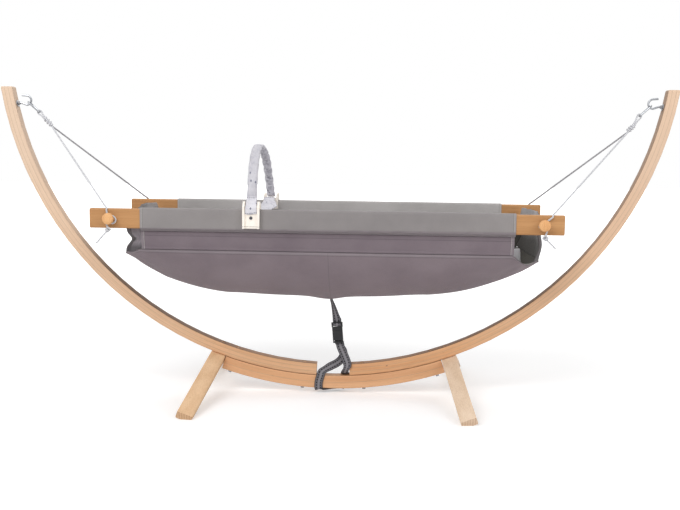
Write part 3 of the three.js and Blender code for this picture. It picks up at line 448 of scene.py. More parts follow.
def wood_material(name, light, dark, along, layer):
    """Wood whose grain runs along the first of the three coordinates that along(tree) gives."""
    mat, tree, skin = material(name, WOOD_ROUGH)
    parts = along(tree)
    broad, fine, flecks = (
        noise(joined(*[part * scale for part, scale in zip(parts, scales)]), 1.0, detail)
        for scales, detail in (((1.6, 26, 34), 3), ((9, 420, 420), 3), ((60, 900, 900), 2))
    )
    colour = ramp(broad, (0.3, dark), (0.7, light))
    colour = mix(0.5, colour, ramp(fine, (0.35, GRAIN_TONE), (0.6, WHITE)), "MULTIPLY")
    colour = mix(0.45, colour, ramp(flecks, (0.3, FLECK_TONE), (0.42, WHITE)), "MULTIPLY")
    clad(skin, layer(colour, parts), bump(fine, 0.18, 0.0006))
    return mat


def arc_coordinates(tree):
    """Angle, y and radius about the centre of the stand, in metres."""
    _, (x, y, z) = place(tree)
    down = ARC_Z * MM - z
    return calc("ARCTAN2", x, down), y, distance(x, down)


def straight(axis):
    """Coordinates with the grain's axis first."""
    order = {"X": (0, 1, 2), "Y": (1, 0, 2), "Z": (2, 0, 1)}[axis]

    def along(tree):
        _, parts = place(tree)
        return [parts[i] for i in order]
    return along


def glue_line(colour, radius, level):
    return mix(near(radius, level * MM, GLUE_HALF) * 0.6, colour, GLUE_TONE)


def arm_layers(colour, parts):
    """Glue lines, painted light up the arm, painted shade on its inner face along the arc, and the right
    arm's knot.
    """
    angle, _, radius = parts
    # Painted light: the arm is made paler towards its upper end.
    colour = mix(fade(abs(angle), 0.35, 1.2) * 0.5, colour, ARM_PAINTED_LIGHT)
    for layer in (1, 2):
        colour = glue_line(colour, radius, ARM_RADIUS - ARM_DEEP * layer / 3)
    knot = near(angle, KNOT_ANGLE, KNOT_HALF_TURN) * near(radius, KNOT_RADIUS * MM, KNOT_HALF)
    colour = mix(knot * 0.8, colour, KNOT_TONE)
    # Painted shade on the inner face, its share along the arc listed in INNER_SHADE.
    inner = radius < (ARM_RADIUS - ARM_DEEP + FACE_SKIN) * MM
    shades = [(at / (2 * ARM_REACH) + 0.5, grey(share)) for at, share in INNER_SHADE]
    return mix(inner * ramp(angle / (2 * ARM_REACH) + 0.5, *shades), colour, INNER_PAINTED_SHADE)


def lower_layers(colour, parts):
    """One glue line and painted shade on the top."""
    top = ARM_RADIUS + GAP
    colour = glue_line(colour, parts[2], top + LOWER_THICK / 2)
    return mix((parts[2] < (top + 1.0) * MM) * 0.45, colour, INNER_PAINTED_SHADE)


def end_grain(axis, tone):
    """Darker end grain on the faces that look along one axis."""
    def layer(colour, parts):
        normal = Term(tree_of([colour]).nodes.new("ShaderNodeTexCoord").outputs["Normal"])
        ends = abs(split(normal)["XYZ".index(axis)]) > 0.8
        grain = ramp(wave(parts[1], END_RINGS) * 0.3 + 0.5, (0, tone), (1, grey(0.9)))
        return mix(ends * 0.75, colour, mix(0.7, colour, grain, "MULTIPLY"))
    return layer


def peg_rings(colour, parts):
    """Turning marks round the middle of each peg's head."""
    z = parts[0] - (HAMMOCK_Z - RAIL_HIGH / 2) * MM
    x = abs(parts[1] - HAMMOCK_X * MM) - PEG_X * MM
    dark = ramp(wave(distance(x, z), TURNED_RINGS) * 0.5 + 0.5, (0, grey(0.84)), (0.6, WHITE))
    return mix(0.7, colour, dark, "MULTIPLY")


def weave(tree):
    """Plain weave from the cloth's own coordinates: two crossed sets of threads."""
    uv, run = cloth_place(tree)
    return wave(run[0], WEAVE_PITCH) * wave(run[1], WEAVE_PITCH), uv, run


def cloth_material(name, colour, shade, hem=None, thread=None, welt=0.0, line=None, band=None,
                   low_tone=None, seam_x=None):
    """Woven cloth. Axis 0 of the edge distances runs from the side edges, and axis 1 from the ends.

    hem is its axis, its width and the distance of its stitches, and band its axis, width and tone.
    line is an axis and a place along the cloth, and low_tone the level, blur, tone and share of a
    colour that comes in below it."""
    mat, tree, skin = material(name, 0.92)
    height, uv, run = weave(tree)
    coords, (x, _, z) = place(tree)
    dark_thread = halfway(shade, grey(0.03))
    base = mottled(coords, 7, 5, shade, colour)
    threads = mottled(mapped(uv, (260, 1400, 1)), 1.0, 2, grey(0.8), WHITE)
    base = mix(0.3, base, threads, "MULTIPLY")
    creases = noise(mapped(coords, (1, 1, 0.6)), 26, 3)
    if seam_x is not None:
        base = mix(near(x, seam_x, 0.0012) * 0.35, base, dark_thread)
    if line:
        axis, at = line
        base = mix(near(run[axis], at, 0.0009) * 0.6, base, dark_thread)
    if hem or band or welt:
        _, edge = cloth_place(tree, "edge")
    if band:
        axis, width, tone = band
        base = mix(near(edge[axis], width / 2, width / 2) * 0.85, base, tone)
    if hem:
        axis, width, row = hem
        base = mix((edge[axis] < width) * 0.22, base, halfway(colour, grey(0.5)))
        base = mix(near(edge[axis], width, 0.0008) * 0.5, base, dark_thread)
        stitches = near(edge[axis], row, 0.0007) * dashes(run[axis], STITCH_PITCH, STITCH_SHARE)
        base = mix(stitches * 0.7, base, thread or dark_thread)
    # The welt is painted shadow: a dark strip along the side edges, where the piped seam shades the cloth.
    if welt:
        base = mix((edge[0] < welt) * 0.7, base, dark_thread)
    if low_tone:
        level, blur, tone, share = low_tone
        base = mix(fade(z, level + blur, level - blur) * share, base, tone)
    skin["Sheen Weight"].default_value = SHEEN
    skin["Sheen Roughness"].default_value = 0.5
    clad(skin, base, bump(height, 0.3, 0.0004, bump(creases, 0.3, 0.004)))
    return mat


def metal_material(name, colour, rough):
    mat, tree, skin = material(name, rough, 1.0)
    coords, _ = place(tree)
    feed(skin["Base Color"], mottled(coords, 140, 4, dimmed(colour, 0.8), colour))
    feed(skin["Roughness"], fade(noise(coords, 60, 3), 0, 1, rough - 0.08, rough + 0.12))
    return mat


def plastic_material(name, colour, rough):
    mat, tree, skin = material(name, rough)
    coords, _ = place(tree)
    base = mottled(coords, 40, 3, dimmed(colour, 0.86), colour)
    clad(skin, base, bump(noise(coords, 900, 2), 0.12, 0.0003))
    return mat


def saddle_material(name):
    """Cream canvas of the arch saddles, with a stitched line across the outer face."""
    mat, tree, skin = material(name, 0.8)
    coords, (x, _, z) = place(tree)
    base = mottled(coords, 40, 3, *SADDLE_TONES)
    row = near(z, SADDLE_STITCH * MM, 0.0009) * dashes(x, 0.0042, 0.7)
    base = mix(row * 0.7, base, SADDLE_THREAD)
    clad(skin, base, bump(wave(x, CANVAS_PITCH) * wave(z, CANVAS_PITCH), 0.25, 0.0004))
    return mat


def rope_material(name, light, dark):
    """Braided cord: crossed strands from the cord's own coordinates."""
    mat, tree, skin = material(name, 0.85)
    uv, (around, along, _) = cloth_place(tree)
    turn = around * (2 * math.pi * ROPE_STRANDS)
    run = along * (2 * math.pi / ROPE_LAY)
    height = calc("MAXIMUM", calc("SINE", turn + run), calc("SINE", turn - run))
    fleck = ramp(noise(mapped(uv, (8, 420, 1)), 1.0, 2), (0.4, srgb(206, 206, 210)), (0.6, WHITE))
    base = mix(0.4, ramp(height, (0.0, dark), (0.6, light)), fleck, "MULTIPLY")
    clad(skin, base, bump(height, 0.7, 0.0008))
    return mat


def webbing_material(name):
    """Dark webbing with ribs and two rows of dashes along it; u runs 0 to 1 across, v in metres along."""
    mat, tree, skin = material(name, 0.78)
    _, (u, v, _) = cloth_place(tree)
    height = wave(v, RIB_PITCH) + wave(u, 1 / RIB_COLUMNS) * 0.6
    base = ramp(height, (0.0, srgb(88, 86, 91)), (1.0, srgb(132, 130, 136)))
    from_middle = abs(u - 0.5)
    base = mix((from_middle < 0.13) * 0.35, base, srgb(176, 173, 178))
    base = mix((from_middle > 0.42) * 0.75, base, srgb(40, 41, 46))
    rows = near(from_middle, 0.23, 0.075) * dashes(v, DASH_PITCH, 0.5)
    base = mix(rows, base, srgb(12, 12, 15))
    clad(skin, base, bump(height, 0.5, 0.0004))
    return mat


def small_crosses(u, v):
    """Sparse small crosses, scattered over cells of cloth."""
    cell = joined(u / PRINT_CELL[0], v / PRINT_CELL[1])
    inputs = {"Vector": cell, "Scale": 1.0, "Randomness": 0.9}
    spots = node(tree_of([cell]), "ShaderNodeTexVoronoi", inputs, voronoi_dimensions="2D")
    middle, chance = Term(spots.outputs["Position"]), split(Term(spots.outputs["Color"]))[0]
    x, y, _ = split(made("ShaderNodeVectorMath", {0: cell, 1: middle}, operation="SUBTRACT"))
    x, y = abs(x), abs(y)
    bars = calc("MINIMUM", x, y) < 0.045
    return (calc("MAXIMUM", x, y) < 0.12) * bars * (chance > 0.5)


def print_material(name, light, dull, crumpled):
    """Mottled pale lavender cloth with a generic sparse print.

    Past its top the crumpled hoop gets painted light and patches of painted shade, the flat pieces a dark row
    of stitches at their ends."""
    mat, tree, skin = material(name, 0.88)
    height, _, (u, v, _) = weave(tree)
    crosses = small_crosses(u, v)
    coords, _ = place(tree)
    base = mottled(coords, 30, 4, dull, light)
    patches = ramp(noise(coords, 75, 5, 0.7), (0.5, BLACK), (0.66, WHITE))
    base = mix(patches * 0.4, base, srgb(148, 148, 168))
    if crumpled:
        # Painted light over the rear leg, past the hoop's top, and painted shade in dark patches among its
        # crumples there.
        past = fade(v, 0.21, 0.27)
        dark = ramp(noise(coords, 60, 5, 0.7), (0.52, BLACK), (0.6, WHITE))
        base = mix(past * 0.5, base, srgb(238, 236, 243))
        base = mix(dark * past * 0.35, base, srgb(86, 86, 108))
    else:
        _, edge = cloth_place(tree, "edge")
        base = mix(near(edge[1], 0.003, 0.0008) * dashes(u, 0.006, 0.75) * 0.8, base, srgb(70, 68, 80))
    base = mix(crosses * 0.85, base, srgb(52, 58, 92))
    skin["Sheen Weight"].default_value = SHEEN
    clad(skin, base, bump(height, 0.3, 0.0004, bump(noise(coords, 90, 4), 0.6, 0.003)))
    return mat


WOOD_ROUGH, SHEEN = 0.66, 0.12
GRAIN_TONE, FLECK_TONE, GLUE_TONE = (0.82, 0.77, 0.72, 1), (0.74, 0.66, 0.58, 1), (0.42, 0.3, 0.2, 1)
GLUE_HALF, FACE_SKIN = 0.0006, 1.1
# Painted light on the arms' upper ends, and painted shade on their inner faces along the arc and on the lower
# piece's top
ARM_PAINTED_LIGHT, ARM_REACH = srgb(216, 203, 188), 1.3
INNER_PAINTED_SHADE = srgb(92, 60, 34)
INNER_SHADE = [(-0.95, 0.12), (-0.78, 0.85), (-0.35, 0.85), (-0.25, 0.7), (0.15, 0.7), (0.3, 0.88)]
INNER_SHADE += [(0.6, 0.84), (0.85, 0.6)]
KNOT_ANGLE, KNOT_HALF_TURN, KNOT_RADIUS, KNOT_HALF = 0.165, 0.0028, 990.0, 0.0012
KNOT_TONE = srgb(120, 82, 58)
END_RINGS, TURNED_RINGS = 2 * math.pi / 900, 0.0045
WEAVE_PITCH, STITCH_PITCH, STITCH_SHARE = 0.0011, 0.0036, 0.68
SADDLE_STITCH, SADDLE_THREAD = 521.0, srgb(120, 112, 108)
SADDLE_TONES = (srgb(242, 233, 222), srgb(251, 244, 235))
CANVAS_PITCH = 2 * math.pi / 3900
ROPE_STRANDS, ROPE_LAY = 4, 0.007
RIB_PITCH, RIB_COLUMNS, DASH_PITCH = 0.0016, 14, 0.0078
PRINT_CELL = (0.019, 0.029)
# Painted shade: dark olive for the inside of the hammock's hollow
PAINTED_SHADE_TONE, PAINTED_SHADE_DEEP = srgb(68, 65, 58), srgb(53, 50, 45)
END_TONES = (srgb(100, 94, 97), srgb(80, 75, 78))
# Painted shade that darkens the end flaps' cloth towards their foot
FOOT_LEVEL, FOOT_PAINTED_SHADE = (HAMMOCK_Z - 100) * MM, srgb(66, 62, 64)
SLEEVE_EDGES = {
    "hem": (1, 0.007, 0.0055),
    "thread": srgb(172, 166, 161),
    "low_tone": ((HAMMOCK_Z - RAIL_HIGH + 5) * MM, 0.002, srgb(122, 112, 117), 0.75),
}
MAT = {
    "arm_left": wood_material("beech_arm_left", srgb(235, 194, 156), srgb(217, 170, 129),
                              arc_coordinates, arm_layers),
    "arm_right": wood_material("beech_arm_right", srgb(230, 181, 136), srgb(213, 158, 112),
                               arc_coordinates, arm_layers),
    "lower": wood_material("beech_lower", srgb(234, 184, 140), srgb(214, 160, 116),
                           arc_coordinates, lower_layers),
    "foot": wood_material("beech_foot", srgb(240, 204, 164), srgb(222, 182, 140),
                          straight("Y"), end_grain("Y", srgb(150, 104, 72))),
    "foot_pale": wood_material("beech_foot_pale", srgb(244, 220, 194), srgb(228, 200, 170),
                               straight("Y"), end_grain("Y", srgb(176, 136, 104))),
    "rail": wood_material("rail_wood", srgb(196, 147, 97), srgb(176, 126, 77),
                          straight("X"), end_grain("X", srgb(150, 100, 60))),
    "peg": wood_material("peg_wood", srgb(238, 186, 130), srgb(222, 162, 104), straight("Z"), peg_rings),
    "zinc": metal_material("zinc", srgb(176, 178, 182), 0.32),
    "rope": rope_material("rope_braid", srgb(232, 232, 235), srgb(190, 191, 196)),
    # A darker copy of the braid: painted shade on the rear cords
    "rope_painted_shade": rope_material("rope_braid_rear_painted_shade", srgb(196, 194, 198), srgb(132, 130, 134)),
    "sleeve": cloth_material("sleeve_cloth", srgb(146, 141, 140), srgb(133, 128, 128), **SLEEVE_EDGES),
    # A lighter copy of the sleeve cloth: painted light on the rear sleeve
    "sleeve_rear": cloth_material("sleeve_cloth_rear_painted_light", srgb(180, 176, 174), srgb(166, 162, 160),
                                  **SLEEVE_EDGES),
    # The bottom's welt is painted shadow under the piped seams.
    "bottom": cloth_material("bottom_cloth", srgb(142, 129, 135), srgb(127, 114, 121),
                             hem=(0, 0.011, 0.013), welt=0.0024, seam_x=(HAMMOCK_X + 8) * MM),
    "side": cloth_material("side_cloth", srgb(129, 117, 123), srgb(115, 103, 110),
                           hem=(1, 0.010, 0.0085), thread=srgb(196, 190, 184), line=(1, 0.012)),
    # Both end flaps darken towards their foot with painted shade.
    "end_left": cloth_material("end_left_cloth", *END_TONES, band=(1, 0.041, srgb(138, 131, 137)),
                               low_tone=(FOOT_LEVEL, 0.008, FOOT_PAINTED_SHADE, 0.8)),
    "end_right": cloth_material("end_right_cloth", *END_TONES, hem=(0, 0.009, 0.0105),
                                low_tone=(FOOT_LEVEL, 0.03, FOOT_PAINTED_SHADE, 0.5)),
    # Painted shade: the inner face of the bottom as dark olive cloth, paler in a band along its side edges
    "hollow_painted_shade": cloth_material("hollow_cloth_painted_shade", PAINTED_SHADE_TONE, PAINTED_SHADE_DEEP, band=(0, 0.014, srgb(134, 129, 127))),
    # Inner face of the end flaps: grey cloth that turns to painted shade towards its foot
    "flap_inner_painted_shade": cloth_material("flap_inner_cloth_painted_shade", srgb(188, 183, 182), srgb(142, 138, 137),
                                  low_tone=((HAMMOCK_Z - 60) * MM, 0.042, PAINTED_SHADE_DEEP, 0.97)),
    "pad": cloth_material("pad_cloth", srgb(236, 236, 240), srgb(220, 220, 226)),
    "webbing": webbing_material("webbing"),
    "black": plastic_material("black_plastic", srgb(28, 29, 32), 0.5),
    "hoop": print_material("hoop_print", srgb(204, 202, 208), srgb(187, 185, 191), True),
    # A lighter copy of the hoop's print: painted light on the band and the foot cover.
    "band": print_material("band_print_painted_light", srgb(224, 222, 228), srgb(208, 206, 212), False),
    "clip": saddle_material("cream_canvas"),
    "stud": plastic_material("stud_plastic", srgb(70, 70, 76), 0.35),
}


def sharpen(obj, degrees):
    obj.data.set_sharp_from_angle(angle=math.radians(degrees))


def dress(names, key):
    for name in names:
        obj = frame["nodes"][name]
        obj.data.materials.clear()
        obj.data.materials.append(MAT[key])
        obj.data.polygons.foreach_set("use_smooth", [True] * len(obj.data.polygons))
        sharpen(obj, 32)


FASTENERS = [f"{kind}_{side}_{piece}" for kind in ("splice_outer", "splice_inner", "foot")
             for side in SIDES for piece in ("bolt", "nut")]
HANGERS = [f"{kind}_{side}" for kind in ("hook", "hook_nut", "hook_washer", "snap_hook", "snap_gate")
           for side in SIDES]
DRESSED = {
    "arm_left": ["arm_left"],
    "arm_right": ["arm_right"],
    "lower": ["lower_arc"],
    "foot": ["foot_left"],
    "foot_pale": ["foot_right"],
    "rail": [f"rail_{end}" for end in ENDS],
    "peg": [f"peg_{end}_{side}" for end in ENDS for side in SIDES],
    "zinc": FASTENERS + HANGERS,
    "black": ["buckle_socket", "buckle_plug"],
    "clip": [f"arch_clip_{end}" for end in ENDS],
    "stud": [f"arch_button_{end}" for end in ENDS],
}
for key, names in DRESSED.items():
    dress(names, key)


def stand_in(replaced):
    """Hides the solid that a piece stands in for."""
    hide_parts(replaced)


# Cloth body: sags, folds and their wave lengths in millimetres, and counts of pleats
BROAD_SAG, BROAD_FOLD, BROAD_FLAT, BROAD_WAVE = 0.6, 1.5, 1.0, (60, 70)
CROSS_SAG, CROSS_FOLD, CROSS_FLAT, CROSS_WAVE = 0.4, 0.9, 0.7, (22, 44)
STRAP_SAG, STRAP_PLEATS, STRAP_REACH = 0.8, 7, 55
CORNER_SAG, CORNER_PLEATS, CORNER_REACH, FOLD_CORNER = 1.6, 9, 70, (560, 200)
PLEAT_REACH, END_CALM = 60, (2, 45)
HEM_WIDE, HEM_REACH, HEM_DEEP, TIP_FROM = 9, 3.5, 0.9, 0.93
SIDE_FOLD, SIDE_CREASE, SIDE_FREE = 1.3, 0.6, 0.85
FLAP_FOLD, GATHER_FROM, GATHER_OUT, GATHER_UP = 1.1, (0.62, 0.95), 5.0, 4.0
BEAD_FROM, BEAD_SLACK = 0.93, 0.4


def body_end(name, y):
    mid = 1 - (y / SEAM_Y) ** 2
    return SLEEVE_HALF + BODY_CORNER[name] + (BODY_END[name] - BODY_CORNER[name]) * mid


def by_end(values, x):
    """The left or right value of a pair, picked by the sign of x."""
    return np.where(x < 0, values["left"], values["right"])


def body_height(x, y):
    far = np.abs(x)
    beyond = np.maximum(far - BODY_MOST + BODY_RISE_LONG, 0) / BODY_RISE_LONG
    depth = BODY_DEPTH - BODY_RISE * beyond ** 1.5
    pulled = PULL_DEPTH * bell(x / PULL_REACH) * bell(y / PULL_REACH)
    past = np.minimum(np.maximum(far - SLEEVE_HALF, 0) / by_end(BODY_CORNER, x), 1)
    dip = by_end(CORNER_DIP, x) * np.sin(0.72 * np.pi * past) ** 1.3 * (y / SEAM_Y) ** DIP_POWER
    bowl = (depth + SEAM_Z) * (1 - np.abs(y / SEAM_Y) ** BODY_POWER)
    near_end = (far - SLEEVE_HALF - by_end(BODY_END, x)) / by_end(RAISE_LONG, x) + 1
    raised = by_end(END_RAISE, x) * np.clip(near_end, 0, 1) ** 1.2
    tuck = by_end(BELLY_TUCK, x) * bell((far - TUCK_AT) / TUCK_REACH)
    lift = (raised + tuck) * (1 - (y / SEAM_Y) ** 2)
    return SEAM_Z - GAP - PANEL_THICK / 2 - bowl - pulled - dip + lift


def body_point(x, y):
    past = np.maximum(np.abs(x) - SLEEVE_HALF, 0) / by_end(BODY_CORNER, x)
    drawn = y * (1 - (CORNER_DRAW / SEAM_Y) * np.minimum(past, 1))
    return np.stack([x, drawn, body_height(x, y)], axis=-1)


def either_end(share, y):
    return np.where(share < 0, body_end("left", y), body_end("right", y))


def belly_folds(x, y, across):
    """How far the hanging bottom sags outwards in soft folds, in millimetres."""
    slack = 1 - across ** 6
    low = smoothstep(0.75, 0.3, across)
    broad = (BROAD_FOLD - BROAD_FLAT * low) * ripple(x / BROAD_WAVE[0], y / BROAD_WAVE[1], 3)
    crossed = (CROSS_FOLD - CROSS_FLAT * low) * ripple((x + y) / CROSS_WAVE[0], (x - y) / CROSS_WAVE[1], 8)

    def pleats(x, y, reach, count, clear):
        away = np.hypot(x, y)
        fan = 1 + np.sin(count * np.arctan2(y, x))
        return bell((away - reach) / PLEAT_REACH) * fan * smoothstep(*clear, away)

    at_strap = pleats(x, y, STRAP_REACH, STRAP_PLEATS, (8, 40))
    corner = (np.abs(x) - FOLD_CORNER[0], np.abs(y) - FOLD_CORNER[1])
    at_corner = pleats(*corner, CORNER_REACH, CORNER_PLEATS, (12, 50))
    sag = BROAD_SAG + broad + CROSS_SAG + crossed + STRAP_SAG * at_strap + CORNER_SAG * at_corner
    return sag * slack


def bottom_surface(u, v):
    y = SEAM_Y * (2 * v - 1)
    share = np.sin(np.pi * (u - 0.5))
    across = np.abs(2 * v - 1)
    end = either_end(share, y)
    x = share * (end - TIP_ROUND * smoothstep(TIP_FROM, 1, across))
    p = body_point(x, y)
    hem = bell(((1 - across) * SEAM_Y - HEM_WIDE) / HEM_REACH)
    p[..., 2] -= belly_folds(x, y, across) * smoothstep(*END_CALM, end - np.abs(x)) + HEM_DEEP * hem
    return p


def side_surface(way):
    def surface(u, v):
        y = STITCH_Y + (SEAM_Y - STITCH_Y) * v + PANEL_THICK * np.sin(np.pi * v)
        x = SLEEVE_HALF * (2 * u - 1) + SIDE_SHIFT
        free = np.sin(np.pi * np.minimum(v / SIDE_FREE, 1))
        folds = SIDE_FOLD * ripple(x / 24, v * 2, 11 + way) + SIDE_CREASE * ripple(x / 9, v * 3, 17 + way)
        y = y + free * folds
        z = -SLEEVE_HEM - GAP + (SEAM_Z + SLEEVE_HEM + GAP) * v
        return np.stack([x, way * y, z], axis=-1)
    return surface


def flap_drop(name, across, at):
    """How far the top edge of a flap hangs below its usual height."""
    front = FLAP_SAG[name] * (1 - smoothstep(-0.1, 0.35, across))
    rear = FLAP_REAR_DROP[name] * smoothstep(SEAM_STEPS / 2 - 0.7, SEAM_STEPS / 2 + 1, at)
    return front + rear


def end_surface(name):
    """End flap on the end seam, wrapped in pleats round its corners but for the open right front one."""
    side = SIDES[name]
    before, after = WRAP_STEPS[name]

    def surface(u, v):
        at = u * (SEAM_STEPS + before + after) - SEAM_STEPS / 2 - before
        across = np.clip(2 * at / SEAM_STEPS, -1, 1)
        wrapped = np.maximum(np.abs(at) - SEAM_STEPS / 2, 0) / WRAP_LONG
        y = SEAM_Y * across
        mid = 1 - across ** 2
        foot = body_point(side * (body_end(name, y) - PANEL_THICK - END_WRAP[name] * wrapped), y)
        low = np.abs(foot[..., 0])
        top_x = SLEEVE_HALF + END_TOP[name] + END_BULGE * mid
        top = top_x - (top_x - low) * np.minimum(2 * wrapped, 1)
        bottom = foot[..., 2] + END_LIFT
        z = bottom + (END_HUMP * mid - END_DROP - flap_drop(name, across, at) - bottom) * v
        waist = bell((v - END_WAIST) / WAIST_LONG[name])
        pinch = END_PINCH[name] * (1 - 0.6 * mid) * (1 - wrapped) * waist
        bowed = np.sin(np.pi * v)
        folds = END_FOLD * np.sin(2.5 * np.pi * across) + FLAP_FOLD * ripple(y / 14, v * 4, 31 + side)
        gathered = smoothstep(*GATHER_FROM, v) * (1 - wrapped)
        folds = folds * bowed + GATHER_OUT * gathered * ripple(y / 7, v * 9, 35 + side)
        z = z + GATHER_UP * gathered * ripple(y / 9, v * 6, 37 + side)
        pleat = WRAP_FOLD * np.sin(5 * np.pi * wrapped) * bowed
        x = low + (top - low) * v - pinch + folds
        lean = (STITCH_Y - SEAM_Y) * v * np.minimum(2 * wrapped, 1)
        y = foot[..., 1] + np.sign(across) * (lean - pleat - WRAP_FOLD * wrapped)
        return np.stack([side * x, y, z], axis=-1)
    return surface


def flat_size(surface):
    """Cut size of a sheet as width and length, from the middle lines of its surface, in metres."""
    t = np.linspace(0, 1, 200)
    half = np.full_like(t, 0.5)
    return lengths_along(surface(half, t))[-1] * MM, lengths_along(surface(t, half))[-1] * MM


def cloth_piece(name, surface, grid, thickness, mats, replaced, inner=0):
    """Hanging sheet in place of a CAD sheet; inner, 0 or 1, is the grid that takes a second material."""
    points, faces, uv, edge = cloth_shell(surface, *grid, thickness)
    count = (grid[0] - 1) * (grid[1] - 1)
    hollow_painted_shade = slice(inner * count, (inner + 1) * count) if len(mats) > 1 else None
    obj = add_mesh(name, to_world(points), faces, "hammock", [MAT[key] for key in mats], uv, edge, hollow_painted_shade)
    stand_in(replaced)
    width, length = flat_size(surface)
    area = sheet_area(surface)
    width = max(width, area / length)


def beaded(u, v):
    """Thickness of a side wall, whose last part is the piped seam."""
    return np.where(v > BEAD_FROM, PIPING - BEAD_SLACK, SHEET_THICK)


BOTTOM_GRID, SIDE_GRID, FLAP_GRID = (241, 101), (181, 31), (111, 41)
# The bottom's inner face takes the painted shade of the hollow.
cloth_piece("cloth_bottom", bottom_surface, BOTTOM_GRID, SHEET_THICK, ["bottom", "hollow_painted_shade"],
            "bottom_panel")
for end, way in ENDS.items():
    cloth_piece(f"cloth_side_{end}", side_surface(way), SIDE_GRID, beaded, ["side"],
                f"side_panel_{end}")
for name in SIDES:
    cloth_piece(f"cloth_end_{name}", end_surface(name), FLAP_GRID, SHEET_THICK,
                [f"end_{name}", "flap_inner_painted_shade"], f"end_panel_{name}", int(name == "right"))


# Sleeves
SLEEVE_STATIONS, SLEEVE_GATHER, CLIP_REACH = 201, 2.6, 34
CREASE_X, CREASE_LONG, CREASE_Z, CREASE_REACH = 150, 330, -29, 3.5


def sleeve_ring(off):
    """Section of a sleeve at a given distance outside the rail, as a closed ring of y and z."""
    left, right = RAIL_OUTER + off, RAIL_OUTER - RAIL_THICK - off
    top, foot, bend = off, -RAIL_HIGH - off, RAIL_ROUND + off
    turns = np.linspace(0, math.pi / 2, 7)
    ring = [(left - bend + bend * math.cos(a), top - bend + bend * math.sin(a)) for a in turns]
    ring += [(right + bend - bend * math.sin(a), top - bend + bend * math.cos(a)) for a in turns]
    levels = np.linspace(top - bend, foot + RAIL_ROUND, 9)[1:]
    ring += [(right, z) for z in levels]
    gathered = foot - SLEEVE_GATHER
    ring += [(STITCH_Y - 2 * SLEEVE_WALL, gathered), (STITCH_Y - SLEEVE_WALL, -SLEEVE_HEM)]
    ring += [(STITCH_Y + SLEEVE_WALL, -SLEEVE_HEM), (STITCH_Y + 3 * SLEEVE_WALL, gathered)]
    ring += [(left, z) for z in levels[::-1]]
    return np.array(ring)


def sleeve_dents(x, ring, way):
    """How far the sleeve's faces lie in towards the rail, in millimetres."""
    z = ring[:, 1]
    low = smoothstep(-20, -60, z)
    clip = 1 - 0.8 * bell((x - ARCH_X) / CLIP_REACH)
    broad = 0.5 + 0.5 * ripple(np.full(len(ring), x / 30), z / 30, 21 + way)
    fine = 0.5 + 0.5 * ripple(np.full(len(ring), x / 9), z / 25, 25 + way)
    wavering = CREASE_Z - 3 * math.sin(x / 70)
    crease = bell((x + CREASE_X * way) / CREASE_LONG) * bell((z - wavering) / CREASE_REACH)
    return clip * (1.1 * broad + 0.5 * fine * (0.4 + low) + 0.6 * crease)


def sleeve(name, way):
    outer, inner = sleeve_ring(2 * GAP + SLEEVE_WALL), sleeve_ring(GAP)
    inner[:, 1] = np.maximum(inner[:, 1], -RAIL_HIGH - GAP)
    stations = np.linspace(-SLEEVE_HALF, SLEEVE_HALF, SLEEVE_STATIONS)
    rows, count = len(stations), len(outer)
    around = lengths_along(outer) * MM
    towards = np.where(outer[:, 0] > RAIL_OUTER - RAIL_THICK / 2, 1.0, -1.0)
    flat_side = (outer[:, 1] < -2) & (outer[:, 1] > -RAIL_HIGH - 2)
    ones = np.ones(count)
    points, uv, edge = [], [], []
    for ring, dented in ((outer, 1.0), (inner, 0.0)):
        for x in stations:
            dent = dented * sleeve_dents(x, ring, way) * flat_side * towards
            shifted = (x + SLEEVE_SHIFT[name]) * ones
            points.append(np.stack([shifted, way * (ring[:, 0] - dent), ring[:, 1]], axis=1))
            uv.append(np.stack([x * MM * ones, around], axis=1))
            edge.append(np.stack([0.02 * ones, (SLEEVE_HALF - abs(x)) * MM * ones], axis=1))
    outward = way < 0
    faces = ring_faces(rows, count, 0, not outward) + ring_faces(rows, count, rows * count, outward)
    for i in (0, rows - 1):
        for j in range(count):
            a, b = i * count + j, i * count + (j + 1) % count
            quad = (a, a + rows * count, b + rows * count, b)
            faces.append(quad if (i == 0) == outward else quad[::-1])
    points, uv, edge = (np.concatenate(parts) for parts in (points, uv, edge))
    # The rear sleeve takes the lighter copy of the cloth, painted light.
    key = "sleeve" if way < 0 else "sleeve_rear"
    obj = add_mesh(f"cloth_sleeve_{name}", to_world(points), faces, "hammock", [MAT[key]], uv, edge)
    sharpen(obj, 50)
    stand_in(f"sleeve_{name}")


for end, way in ENDS.items():
    sleeve(end, way)


# Padded pieces, blown up as cloth with their movement capped: voxel, pressure and cap of each
PAD_VOXEL, PAD_PRESSURE, PAD_CAP, PAD_GRID = 7.0, 4.0, 3.5, (121, 45)
HOOP_VOXEL, HOOP_PRESSURE, HOOP_CAP = 3.4, 3.0, 2.0
CLOTH_STEPS = 20
PAD_DRAW, WELT_HIGH, WELT_REACH, PUCKER_DEEP, PUCKER_WAVE = 9, 9, 2.5, 1.5, 4.0


def mesh_arrays(mesh):
    points = np.empty(len(mesh.vertices) * 3)
    mesh.vertices.foreach_get("co", points)
    return points.reshape(-1, 3) / MM, [tuple(face.vertices) for face in mesh.polygons]


def remeshed(points, faces, voxel):
    """The same closed form with even faces of about one voxel."""
    obj = add_mesh("rough_form", points, faces, None, [])
    modifier = obj.modifiers.new("even", "REMESH")
    modifier.mode = "VOXEL"
    modifier.voxel_size = voxel * MM
    graph = bpy.context.evaluated_depsgraph_get()
    result = mesh_arrays(obj.evaluated_get(graph).to_mesh())
    bpy.data.objects.remove(obj)
    return result


